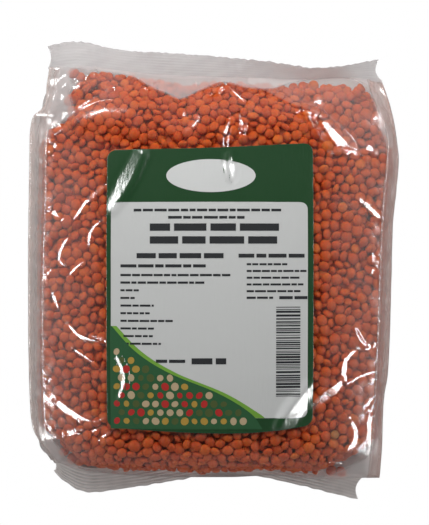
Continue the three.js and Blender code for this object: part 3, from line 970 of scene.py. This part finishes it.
def make_seal(name, ends, root, edge, ribs, rib_height, painted_rib_shade, crumple, cloud, material, seed):
    """A crimped band, straight across from its root line, where t is 0, to its free edge, where t
    is 1. It is ribbed along its length by sin(2 pi ribs t), crumpled towards its free edge and
    drawn in at its ends. Its haze rises on each rib and falls between them, as painted light and
    shade."""
    x = np.linspace(ends[0], ends[1], 300)
    shares = np.linspace(-0.08, 1, 64)
    start, finish = root(x), edge(x)
    grid = mix(start[None, :, :], finish[None, :, :], shares[:, None, None])
    inside = np.clip(shares, 0, 1)
    ends_only = smooth(0, 0.06, inside) * smooth(1, 0.94, inside)
    wave = rib_height * np.sin(2 * math.pi * ribs * inside) * ends_only
    patches = 0.65 + 0.35 * ripple(grid[:, :, 0], grid[:, :, 1], seed + 3, 60, 14)
    rough = 0.30 * ripple(grid[:, :, 0], grid[:, :, 1], seed, 34, 8)
    rough = rough + crumple * ripple(grid[:, :, 0], grid[:, :, 1] * 0.5, seed + 4, 7, 2.2)
    grid[:, :, 2] += wave[:, None] * patches + rough * inside[:, None]
    jagged = 0.22 * ripple(x, 0 * x, seed + 1, 9, 2.2)
    grid[:, :, 1] += jagged[None, :] * smooth(0.7, 1, inside)[:, None]
    near_left = smooth(6, 0, x - ends[0])[None, :]
    near_right = smooth(6, 0, ends[1] - x)[None, :]
    grid[:, :, 0] += 1.5 * (near_left - near_right) * np.sin(math.pi * inside)[:, None]
    grid[:, :, 0] += 2.0 * near_right * ((1 - inside) ** 4)[:, None]
    points, faces = slab(grid, SEAL_THICK * 0.6)
    haze = cloud + 0.06 * ripple(points[:, 0], points[:, 1], seed + 2, 30, 6)
    # Painted light and shade along the ribs: the haze rises on each rib and falls between them.
    ridges = (np.sin(2 * math.pi * ribs * inside) * ends_only)[:, None] * patches
    haze = haze + painted_rib_shade * np.tile(ridges.reshape(-1), 2)
    return build_mesh(name, points, [faces], [material], {"haze": np.clip(haze, 0, 1)})


def make_seals(top_material, bottom_material):
    """The top seal, faintly ribbed, and the bottom seal, whose ribs are deep. On both, light and shade are
    painted along the ribs, strongly on the bottom one, whose film is also lightened by painted light.
    """

    def line(knots, height):
        """A line over the bag at a level height or one that follows knots of its own."""
        def points(x):
            z = along(height, x) if isinstance(height, list) else np.full_like(x, height)
            return np.stack([x, along(knots, x), z], axis=1)
        return points

    make_seal("seal_top", TOP_SEAL_ENDS, line(TOP_ROOT, TOP_ROOT_Z), line(TOP_EDGE, TOP_EDGE_Z),
              ribs=8, rib_height=0.035, painted_rib_shade=0.012, crumple=0.035, cloud=0.46,
              material=top_material, seed=41)
    # The bottom seal's high cloud and lighter film are painted light that makes up for the shade beside
    # the bag's end.
    make_seal("seal_bottom", BOTTOM_SEAL_ENDS, line(BOTTOM_ROOT, BOTTOM_ROOT_Z),
              line(BOTTOM_EDGE, BOTTOM_EDGE_Z), ribs=7, rib_height=0.14, painted_rib_shade=0.22,
              crumple=0.06, cloud=0.70, material=bottom_material, seed=45)


# The lentils


def lentil_shape(sides):
    """Unit lentil: circles at heights sin(a) for a of -40, 0 and 40 degrees, and two poles."""
    turn = np.arange(sides) * 2 * math.pi / sides
    circles = []
    for angle in (-40, 0, 40):
        a = math.radians(angle)
        circles.append(np.stack([np.cos(turn) * math.cos(a), np.sin(turn) * math.cos(a),
                                 np.full(sides, math.sin(a))], axis=1))
    points = np.concatenate([*circles, [[0, 0, -1], [0, 0, 1]]])
    here = np.arange(sides)
    after = (here + 1) % sides
    band = np.stack([here, after, after + sides, here + sides], axis=1)
    quads = np.concatenate([band, band + sides])
    low, high = 3 * sides, 3 * sides + 1
    caps = np.concatenate([
        np.stack([after, here, np.full(sides, low)], axis=1),
        np.stack([here + 2 * sides, after + 2 * sides, np.full(sides, high)], axis=1),
    ])
    return points, quads, caps


class Skin:
    """A closed grid surface that can be read at any (u, v), u along it and v round it."""

    def __init__(self, rings):
        self.rings = rings
        self.rows, self.columns, _ = rings.shape
        along_v = np.roll(rings, -1, axis=1) - np.roll(rings, 1, axis=1)
        along_u = np.gradient(rings, axis=0)
        normal = np.cross(along_u, along_v)
        normal /= np.linalg.norm(normal, axis=2, keepdims=True) + 1e-9
        middle = rings.mean(axis=(0, 1))
        outward = np.sum(normal * (rings - middle), axis=2).mean()
        self.normals = normal if outward > 0 else -normal

    def read(self, table, u, v):
        """Bilinear value of a table of the grid's points at (u, v)."""
        i = np.clip(np.floor(u).astype(int), 0, self.rows - 2)
        j = np.floor(v).astype(int) % self.columns
        k = (j + 1) % self.columns
        s = np.clip(u - i, 0, 1)[:, None]
        t = (v - np.floor(v))[:, None]
        return mix(mix(table[i, j], table[i, k], t), mix(table[i + 1, j], table[i + 1, k], t), s)

    def scatter(self, density, random):
        """Random (u, v) and least depths, in numbers of LENTILS_PER_AREA where the density is 1."""
        a = self.rings[:-1]
        b = np.roll(a, -1, axis=1)
        c = self.rings[1:]
        area = np.linalg.norm(np.cross(b - a, c - a), axis=2)
        centre = (a + b + c + np.roll(c, -1, axis=1)) / 4
        wanted = density(centre.reshape(-1, 3), self.normals[:-1].reshape(-1, 3))
        weight = area * wanted.reshape(area.shape)
        count = int(weight.sum() * LENTILS_PER_AREA)
        picked = random.choice(weight.size, count, p=(weight / weight.sum()).reshape(-1))
        u = picked // self.columns + random.random(count)
        v = picked % self.columns + random.random(count)
        return u, v, random.uniform(*SHALLOWEST, count)

    def normal_at(self, u, v):
        """The outward unit normal at (u, v)."""
        normal = self.read(self.normals, u, v)
        return normal / np.linalg.norm(normal, axis=1, keepdims=True)

    def spread(self, u, v, shallow, rounds):
        """Moves lentils apart along the surface and in depth, round by round, until they are
        packed loosely. Depth counts DEPTH_STRETCH times as much, because they are flatter than
        they are wide."""
        depth = np.linspace(0, 1, len(u)) * (DEEPEST - shallow) + shallow
        for _ in range(rounds):
            surface = self.read(self.rings, u, v)
            normal = self.normal_at(u, v)
            push = repel(surface - normal * (depth * DEPTH_STRETCH)[:, None], LENTIL_REACH)
            inward = -np.sum(push * normal, axis=1) / DEPTH_STRETCH
            depth = np.clip(depth + inward, shallow, DEEPEST)
            step = 0.01
            further = np.clip(u + step, 0, self.rows - 1.001)
            across = (self.read(self.rings, u, v + step) - surface) / step
            forward = (self.read(self.rings, further, v) - surface) / step
            aa = np.sum(across * across, axis=1) + 1e-6
            ff = np.sum(forward * forward, axis=1) + 1e-6
            af = np.sum(across * forward, axis=1)
            pa = np.sum(push * across, axis=1)
            pf = np.sum(push * forward, axis=1)
            det = np.maximum(aa * ff - af * af, 0.05 * aa * ff)
            u = np.clip(u + np.clip((pf * aa - pa * af) / det, -2, 2), 0.01, self.rows - 1.01)
            v = v + np.clip((pa * ff - pf * af) / det, -2, 2)
        return u, v, depth


def repel(points, reach):
    """For each point, the sum of the pushes away from its neighbours within reach, each of them
    PUSH times what the distance falls short of the reach by. Neighbours are found by cells."""
    cell = np.floor((points - points.min(axis=0)) / reach).astype(int) + 1
    shape = cell.max(axis=0) + 2
    key = (cell[:, 0] * shape[1] + cell[:, 1]) * shape[2] + cell[:, 2]
    order = np.argsort(key, kind="stable")
    sorted_key = key[order]
    first = np.searchsorted(sorted_key, sorted_key, side="left")
    rank = np.arange(len(key)) - first
    most = 8
    table = np.full((int(np.prod(shape)), most), -1)
    keep = rank < most
    table[sorted_key[keep], rank[keep]] = order[keep]
    push = np.zeros_like(points)
    for dx in (-1, 0, 1):
        for dy in (-1, 0, 1):
            for dz in (-1, 0, 1):
                other = table[key + (dx * shape[1] + dy) * shape[2] + dz]
                away = points[:, None, :] - points[other]
                distance = np.linalg.norm(away, axis=2)
                near = (other >= 0) & (distance < reach) & (distance > 1e-6)
                strength = np.where(near, (reach - distance) / (distance + 1e-6), 0) * PUSH
                push += np.sum(away * strength[:, :, None], axis=1)
    return push


def turn_matrices(axis, random):
    """Rotations that take +Z to each axis, with a random turn about it."""
    helper = np.where(np.abs(axis[:, 2:3]) < 0.9, [[0.0, 0.0, 1.0]], [[1.0, 0.0, 0.0]])
    first = np.cross(helper, axis)
    first /= np.linalg.norm(first, axis=1, keepdims=True)
    second = np.cross(axis, first)
    angle = random.uniform(0, 2 * math.pi, len(axis))[:, None]
    x_axis = first * np.cos(angle) + second * np.sin(angle)
    y_axis = np.cross(axis, x_axis)
    return np.stack([x_axis, y_axis, axis], axis=2)


def lentil_batch(centres, normals, room, sides, random):
    """Points, faces and tones of joined lentils, each turned at random. A lentil tilted by a
    reaches sqrt((half width * sin a)^2 + (half height * cos a)^2) towards the film, so a is held
    down where there is less room than that."""
    count = len(centres)
    width = LENTIL_WIDTH / 2 * np.clip(random.normal(1.0, 0.085, count), 0.78, 1.18)
    height = width * random.uniform(0.48, 0.60, count)
    most = np.clip((room ** 2 - height ** 2) / (width ** 2 - height ** 2), 0.02, 1)
    sine = np.sqrt(most) * random.uniform(0, 1, count) ** 0.3
    cosine = np.sqrt(1 - sine ** 2)
    around = turn_matrices(normals, random)
    axis = around[:, :, 0] * sine[:, None] + around[:, :, 2] * cosine[:, None]
    turn = turn_matrices(axis, random)
    shape, quads, caps = lentil_shape(sides)
    sizes = np.stack([width, width * random.uniform(0.86, 1.03, count), height], axis=1)
    local = shape[None, :, :] * sizes[:, None, :]
    points = np.einsum("nij,nkj->nki", turn, local) + centres[:, None, :]
    tone = np.clip(random.normal(0.52, 0.17, count), 0.0, 0.92)
    # A few odd ones are brownish or pale
    odd = random.random(count)
    tone = np.where(odd < 0.0004, 0.975, tone)
    tone = np.where(odd > 0.9995, 1.0, tone)
    return points, quads, caps, np.repeat(tone[:, None], len(shape), axis=1)


def inside_film(film, points):
    """Whether whole lentils, an array of each one's points, lie between the films. Past the bottom
    seal's root the lower film rises by 1 - sqrt(1 - t^2) to the end's furthest reach."""
    x, y, z = points[..., 0], points[..., 1], points[..., 2]
    gap = 0.02
    upper = film.front_height(x, y) - gap
    root = along(BOTTOM_ROOT, x)
    past = np.clip((y - root) / (along(BOTTOM_END, x) - root), 0, 1)
    round_end = mix(BOTTOM_ROOT_Z + SEAL_THICK / 2, END_BULGE_Z, 1 - np.sqrt(1 - past * past))
    lower = np.where(y < root, round_end, film.back_height(x, y)) + gap
    return np.all((z < upper) & (z > lower), axis=1)


def stray_centres(film):
    """Places half-way between the films for the lentils that lie apart."""
    x, y = np.array(STRAY_LENTILS).T
    level = np.maximum(y, BOTTOM_START)
    z = (film.front_height(x, level) + film.back_height(x, level)) / 2
    z = np.where(y < BOTTOM_START, STRAY_Z, z)
    return np.stack([x, y, z], axis=1)


def make_lentils(name, skin, film, density, sides, seed, material, extra=None):
    """The lentils of one part of the bed as one mesh, less those that poke through the film. The
    extra centres are added as they are."""
    random = np.random.default_rng(seed)
    rounds = SPREAD_ROUNDS
    u, v, depth = skin.spread(*skin.scatter(density, random), rounds)
    normals = skin.normal_at(u, v)
    centres = skin.read(skin.rings, u, v) - normals * depth[:, None]
    room = depth - 0.15
    if extra is not None:
        centres = np.concatenate([centres, extra])
        normals = np.concatenate([normals, np.tile([[0.0, 0.0, 1.0]], (len(extra), 1))])
        room = np.concatenate([room, np.full(len(extra), STRAY_ROOM)])
    points, quads, caps, tones = lentil_batch(centres, normals, room, sides, random)
    keep = inside_film(film, points)
    if extra is not None:
        keep[-len(extra):] = True
    points, tones = points[keep], tones[keep]
    starts = (np.arange(len(points)) * points.shape[1])[:, None, None]
    faces = [(quads[None] + starts).reshape(-1, 4), (caps[None] + starts).reshape(-1, 3)]
    return build_mesh(name, points.reshape(-1, 3), faces, [material], {"tone": tones})


def under_label(points):
    """Whether points lie so far under the label that no lentil could be seen there."""
    x, y = points[:, 0], points[:, 1]
    margin = 6
    inside = (x > LABEL_LEFT + margin) & (x < LABEL_RIGHT - margin)
    return inside & (y > along(LABEL_BOTTOM, x) + margin) & (y < along(LABEL_TOP, x) - margin)


def front_density(points, normals):
    """1 where the bed faces up and no label hides it."""
    return np.where((normals[:, 2] > FACING_UP) & ~under_label(points), 1.0, 0.0)


def side_density(points, normals):
    """1 where the bed faces outwards."""
    return np.where(np.abs(normals[:, 2]) <= FACING_UP, 1.0, 0.0)


def back_density(points, normals):
    """1 where the bed faces down."""
    return np.where(normals[:, 2] < -FACING_UP, 1.0, 0.0)


def make_core(loft, material):
    """A closed body that fills the middle of the bag, where no lentil could be seen."""
    rings = loft.rings()
    faces = tube_faces(loft, len(rings), True, True)
    return build_mesh("lentil_core", rings.reshape(-1, 3), faces, [material])


# The label


def label_height(loft, x, y):
    """The front film's height, faintly dimpled by the lentils below."""
    return loft.front_height(x, y) + LABEL_LIFT + 0.012 * ripple(x, y, 61, 9, 4, 20)


def corner_inset(from_end, radius):
    """How far a round corner draws a row in, r (1 - sqrt(1 - t^2)), where t falls from 1 at the
    row's own end of the sheet to 0 one radius r from it."""
    short = np.clip(1 - from_end / radius, 0, 1)
    return radius * (1 - np.sqrt(1 - short ** 2))


def make_label(loft, material):
    """The sticker: rows from its lower edge to its upper one, drawn in at the round corners and
    laid on the front film, with close columns at both sides that keep its edge crisp."""
    rows = []
    near = np.array([0, 0.05, 0.15, 0.35, 0.65, 1.0]) * LABEL_CORNER
    inner = np.linspace(0, 1, 120)[1:-1]
    shares = np.concatenate([[0, 0.0015], np.linspace(0.01, 0.99, 90), [0.9985, 1]])
    places = [("low", distance) for distance in near]
    places += [("share", share) for share in inner]
    places += [("high", distance) for distance in near[::-1]]
    for kind, value in places:
        inset = 0.0 if kind == "share" else float(corner_inset(value, LABEL_CORNER))
        x = mix(LABEL_LEFT + inset, LABEL_RIGHT - inset, shares)
        low, high = along(LABEL_BOTTOM, x), along(LABEL_TOP, x)
        if kind == "low":
            y = low + value
        elif kind == "high":
            y = high - value
        else:
            y = mix(low + LABEL_CORNER, high - LABEL_CORNER, value)
        rows.append(np.stack([x, y, label_height(loft, x, y)], axis=1))
    points, faces = slab(np.array(rows), LABEL_THICK)
    return build_mesh("label_sheet", points, [faces], [material])


class Print:
    """Flat fields of one colour on the label, gathered into one mesh."""

    def __init__(self, loft, lift):
        self.loft = loft
        self.lift = LABEL_THICK / 2 + lift
        self.points = []
        self.faces = []
        self.total = 0

    def add(self, grid_x, grid_y):
        """One field over a grid of places, laid on the label with its face up."""
        z = label_height(self.loft, grid_x, grid_y) + self.lift
        grid = np.stack([grid_x, grid_y, z], axis=-1)
        rows, columns, _ = grid.shape
        faces = grid_faces(rows, columns)
        corner = grid[rows // 2, 0]
        upward = np.cross(grid[rows // 2, 1] - corner, grid[rows // 2 + 1, 0] - corner)[2] > 0
        self.faces.append((faces if upward else faces[:, ::-1]) + self.total)
        self.points.append(grid.reshape(-1, 3))
        self.total += rows * columns

    def bar(self, x0, x1, y0, y1):
        """A rectangle, in steps of about 1.5 mm."""
        columns = max(2, int((x1 - x0) / 1.5) + 1)
        rows = 3 + int(abs(y1 - y0) / 1.5)
        x, y = np.meshgrid(np.linspace(x0, x1, columns), np.linspace(y0, y1, rows))
        self.add(x, y)

    def span(self, y, left, right, columns):
        """Rows at each y, from its left value to its right one."""
        share = np.linspace(0, 1, columns)
        x = mix(left[:, None], right[:, None], share[None, :])
        self.add(x, np.repeat(y[:, None], columns, axis=1))

    def disc(self, cx, cy, rx, ry, turn=0.0):
        """An oval with half axes rx and ry, as rows across it."""
        a = np.linspace(-math.pi / 2, math.pi / 2, max(7, int(ry * 3)))
        share = np.linspace(-1, 1, max(5, int(rx * 2)))
        v = np.sin(a)[:, None] * ry + 0 * share[None, :]
        u = np.cos(a)[:, None] * rx * share[None, :]
        x = cx + u * math.cos(turn) - v * math.sin(turn)
        y = cy + u * math.sin(turn) + v * math.cos(turn)
        self.add(x, y)

    def build(self, name, material):
        """The gathered fields as one piece."""
        return build_mesh(name, np.concatenate(self.points), [np.concatenate(self.faces)], [material])


def word_bars(field, x0, x1, y, height, random):
    """A line of type as plain bars, one for each word."""
    x = x0
    while x < x1 - height:
        long = min(random.uniform(1.6, 4.2) * height * 1.3, x1 - x)
        field.bar(x, x + long, y - height / 2, y + height / 2)
        x += long + height * 0.55


def column_lines(lines, top, gap):
    """A column's lines of type as from x, to x, y and a height of 1 mm."""
    return [(x0, x1, top - gap * k, 1.0) for k, (x0, x1) in enumerate(lines)]


def make_panel(loft):
    """The pale panel, with rows close together at its round corners."""
    near = np.array([0, 0.4, 1.2, 2.4])
    widest = max(PANEL_LOW_CORNER, PANEL_HIGH_CORNER)
    middle = np.linspace(PANEL_LOW + widest, PANEL_HIGH - widest, 80)
    y = np.concatenate([PANEL_LOW + near, middle, PANEL_HIGH - near[::-1]])
    low_inset = corner_inset(y - PANEL_LOW, PANEL_LOW_CORNER)
    high_inset = corner_inset(PANEL_HIGH - y, PANEL_HIGH_CORNER)
    inset = np.where(y > 0, high_inset, low_inset)
    panel = Print(loft, PANEL_LIFT)
    panel.span(y, PANEL_LEFT + inset, PANEL_RIGHT - inset, 80)
    panel.build("label_panel", print_material("label_panel", (0.66, 0.67, 0.66)))


def make_oval(loft):
    """An empty oval on the green band above the panel."""
    oval = Print(loft, PANEL_LIFT)
    oval.disc(*OVAL)
    oval.build("label_oval", print_material("label_oval", (0.70, 0.71, 0.70)))


def make_type(loft, random):
    """Lines of plain bars, in two columns below the head lines, and upright stripes at the right."""
    left = column_lines(LEFT_COLUMN, LEFT_COLUMN_TOP, LEFT_COLUMN_GAP)
    right = column_lines(RIGHT_COLUMN, RIGHT_COLUMN_TOP, RIGHT_COLUMN_GAP)
    dark = Print(loft, TYPE_LIFT)
    for x0, x1, y, height in HEAD_LINES + left + right + FOOT_LINES:
        word_bars(dark, x0, x1, y, height, random)
    y = STRIPES_HIGH
    while y > STRIPES_LOW:
        thick = random.choice([0.35, 0.35, 0.7, 1.05])
        dark.bar(STRIPES_LEFT, STRIPES_RIGHT, y - thick, y)
        y -= thick + random.choice([0.4, 0.4, 0.8])
    dark.build("label_type", print_material("label_type", (0.035, 0.037, 0.04), TYPE_ROUGHNESS))


def make_sweep(loft):
    """The green sweep at the panel's lower left, and the light green rim that shows past it."""
    y = np.linspace(SWEEP_LOW, SWEEP_HIGH, 56)
    swoop = Print(loft, TYPE_LIFT)
    swoop.span(y, np.full(len(y), SWEEP_LEFT), along(SWEEP_EDGE, y), 60)
    swoop.build("label_swoop", print_material("label_swoop", (0.035, 0.12, 0.05)))

    y = y[y > PANEL_LOW]
    rim = Print(loft, RIM_LIFT)
    rim.span(y, np.full(len(y), PANEL_LEFT), along(RIM_EDGE, y), 60)
    rim.build("label_rim", print_material("label_rim", (0.20, 0.42, 0.06)))


def make_discs(loft, random):
    """Rows of plain discs of four colours on the sweep, one piece for each colour."""
    fields = {name: Print(loft, DISC_LIFT) for name in DISC_COLOURS}
    names = list(DISC_COLOURS)
    for row, cy in enumerate(np.arange(*DISC_ROWS)):
        reach = float(along(DISC_EDGE, cy))
        cx = DISC_LEFT + (row % 2) * DISC_STEP / 2
        while cx < reach - 1:
            kind = names[int(random.integers(0, len(names)))]
            size = random.uniform(1.5, 2.1)
            fields[kind].disc(cx, cy, size, size * random.uniform(0.8, 1.0), random.uniform(0, 3))
            cx += DISC_STEP
    for name, field in fields.items():
        field.build("label_discs_" + name, print_material("label_" + name, DISC_COLOURS[name]))


def make_print(loft):
    """Everything printed on the label. Type and discs draw on one run of random numbers."""
    random = np.random.default_rng(71)
    make_panel(loft)
    make_oval(loft)
    make_type(loft, random)
    make_sweep(loft)
    make_discs(loft, random)


# Camera, floor and lights


def add_camera():
    """The camera straight above the bag, looking down."""
    data = bpy.data.cameras.new("camera")
    data.lens = LENS
    data.sensor_width = 36.0
    data.clip_start = 0.01
    camera = bpy.data.objects.new("camera", data)
    camera.location = (np.array(CAMERA) + np.array(FRAME_SHIFT)) / 1000
    bpy.context.scene.collection.objects.link(camera)
    bpy.context.scene.camera = camera


def floor_material():
    """White where the camera sees it bare, a grey table where it is seen through the film."""
    material, nodes, links, output = new_material("floor")
    surface = node_of(nodes, "ShaderNodeBsdfDiffuse", {"Color": (0.62, 0.60, 0.59, 1.0)})
    path = nodes.new("ShaderNodeLightPath")
    bare = nodes.new("ShaderNodeMath")
    bare.operation = "LESS_THAN"
    bare.inputs[1].default_value = 0.5
    links.new(path.outputs["Transparent Depth"], bare.inputs[0])
    seen = nodes.new("ShaderNodeMath")
    seen.operation = "MULTIPLY"
    links.new(bare.outputs["Value"], seen.inputs[0])
    links.new(path.outputs["Is Camera Ray"], seen.inputs[1])
    white = nodes.new("ShaderNodeEmission")
    blend = mix_shaders(nodes, links, seen.outputs["Value"], surface.outputs["BSDF"],
                        white.outputs["Emission"])
    links.new(blend, output.inputs["Surface"])
    return material


def add_floor():
    """A square just below the bag."""
    corners = [(-1, -1), (1, -1), (1, 1), (-1, 1)]
    places = [(x * FLOOR_REACH / 1000, y * FLOOR_REACH / 1000, FLOOR_Z / 1000) for x, y in corners]
    mesh = bpy.data.meshes.new("floor")
    mesh.from_pydata(places, [], [(0, 1, 2, 3)])
    mesh.materials.append(floor_material())
    floor = bpy.data.objects.new("floor", mesh)
    bpy.context.scene.collection.objects.link(floor)


def add_light(name, azimuth, from_zenith, distance, size, radiance, mirrored=True):
    """A rectangle of even brightness turned to the bag, in metres; its power is radiance * pi *
    area. A mirrored one only shows as a glint, and one that isn't only lights things."""
    data = bpy.data.lights.new(name, "AREA")
    data.shape = "RECTANGLE"
    data.size, data.size_y = size
    data.energy = radiance * math.pi * size[0] * size[1]
    light = bpy.data.objects.new(name, data)
    light.location = lamp_place(azimuth, from_zenith, distance)
    light.rotation_euler = (math.radians(from_zenith), 0, math.radians(azimuth + 90))
    light.visible_glossy = mirrored
    light.visible_diffuse = not mirrored
    bpy.context.scene.collection.objects.link(light)


def add_lamp_arcs():
    """Lamps end to end along each arc. Each is as long as its share of the arc is straight
    across, 2 r tan(step / 2), r being the arc's radius."""
    distance = LAMP_DISTANCE / 1000
    size_across = LAMP_DEPTH / 1000
    for first, last, zenith, count in LAMP_ARCS:
        step = (last - first) / count
        length = 2 * distance * math.sin(math.radians(zenith)) * math.tan(math.radians(step / 2))
        for k in range(count):
            azimuth = first + step * (k + 0.5)
            name = "lamp_" + str(round(azimuth) % 360)
            add_light(name, azimuth, zenith, distance, (length, size_across), LAMP_RADIANCE)


def add_world():
    """A bright room all round, brightest towards the top seal and darker straight overhead."""
    world = bpy.data.worlds.new("world")
    world.use_nodes = True
    nodes, links = world.node_tree.nodes, world.node_tree.links
    place = nodes.new("ShaderNodeTexCoord")
    parts = nodes.new("ShaderNodeSeparateXYZ")
    links.new(place.outputs["Generated"], parts.inputs["Vector"])
    up = ramp_of(nodes, links, parts.outputs["Z"], [
        (0.0, (0.80, 0.80, 0.80)),
        (0.45, (0.70, 0.70, 0.70)),
        (0.66, (0.28, 0.28, 0.28)),
        (0.88, (0.06, 0.06, 0.06)),
    ])
    north = node_of(nodes, "ShaderNodeMapRange", {"From Min": -1.0, "To Min": 0.75, "To Max": 1.25})
    links.new(parts.outputs["Y"], north.inputs["Value"])
    links.new(up, nodes["Background"].inputs["Color"])
    links.new(north.outputs["Result"], nodes["Background"].inputs["Strength"])
    bpy.context.scene.world = world


def set_view():
    """Plain colours, and enough passes through the film."""
    scene = bpy.context.scene
    scene.view_settings.view_transform = "Standard"
    scene.cycles.transparent_max_bounces = 24
    scene.cycles.max_bounces = 8


# Everything put together


crinkle_group()
film_clear = film_material("film_clear", (0.85, 0.82, 0.81), 0.13)
# The fins' films carry a painted reddish cast of the lentils behind them, strongest on the right fin.
film_fin = film_material("film_fin", (0.74, 0.60, 0.55), 0.15)
film_fin_right_painted_cast = film_material("film_fin_right_painted_cast", (0.68, 0.42, 0.36), 0.15)
film_seal = film_material("film_seal", (0.80, 0.77, 0.77), 0.17)
# The bottom seal's film is a lighter copy of the seal film: painted light that makes up for the shade it
# lies in beside the bag's end.
film_seal_low_painted_light = film_material("film_seal_low_painted_light", (0.95, 0.89, 0.87), 0.15)
lentil = lentil_material()

relief = Relief(FOLDS + random_folds(11), wave=1.0, steepest=0.26)
label_relief = Relief(LABEL_FOLDS, wave=0.3, steepest=0.15)
film_loft = Loft(LEFT_SEAM, RIGHT_SEAM, BOTTOM_END, BOTTOM_ROOT, TOP_ROOT, inset=0.0,
                 bulge=FILM_BULGE, fine=relief, steps=(380, 48, 10, 280, 72))
label_loft = Loft(LEFT_SEAM, RIGHT_SEAM, BOTTOM_END, BOTTOM_ROOT, TOP_ROOT, inset=0.0,
                  bulge=FILM_BULGE, fine=label_relief, steps=(280, 64, 12, 210, 60))
bed_loft = Loft(BED_LEFT, BED_RIGHT, BED_BOTTOM, BED_BOTTOM, BED_TOP, inset=0.3,
                bulge=BED_BULGE, fine=None, steps=(90, 90, 14, 90, 24))
core_loft = Loft(shifted(BED_LEFT, 8.0), shifted(BED_RIGHT, -8.0), shifted(BED_BOTTOM, 9.0),
                 shifted(BED_BOTTOM, 14.0), shifted(BED_TOP, -12.0), inset=5.6, bulge=4.0,
                 fine=None, steps=(40, 40, 6, 40, 12))

film_rings = make_film(film_loft, film_clear)
make_fins(film_loft, film_rings, film_fin, film_fin_right_painted_cast)
make_seals(film_seal, film_seal_low_painted_light)

bed = Skin(bed_loft.rings())
make_lentils("lentils_front", bed, film_loft, front_density, sides=12, seed=101, material=lentil,
             extra=stray_centres(film_loft))
make_lentils("lentils_sides", bed, film_loft, side_density, sides=8, seed=102, material=lentil)
make_lentils("lentils_back", bed, film_loft, back_density, sides=8, seed=103, material=lentil)
make_core(core_loft, plain_material("lentil_core", (0.72, 0.13, 0.03), 0.8))

label = make_label(label_loft, print_material("label_green", (0.019, 0.070, 0.025)))
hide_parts("label")
make_print(label_loft)

add_camera()
add_floor()
add_world()
set_view()
add_light("window", azimuth=98, from_zenith=42, distance=0.52, size=(0.56, 0.44), radiance=2.4,
          mirrored=False)
add_lamp_arcs()
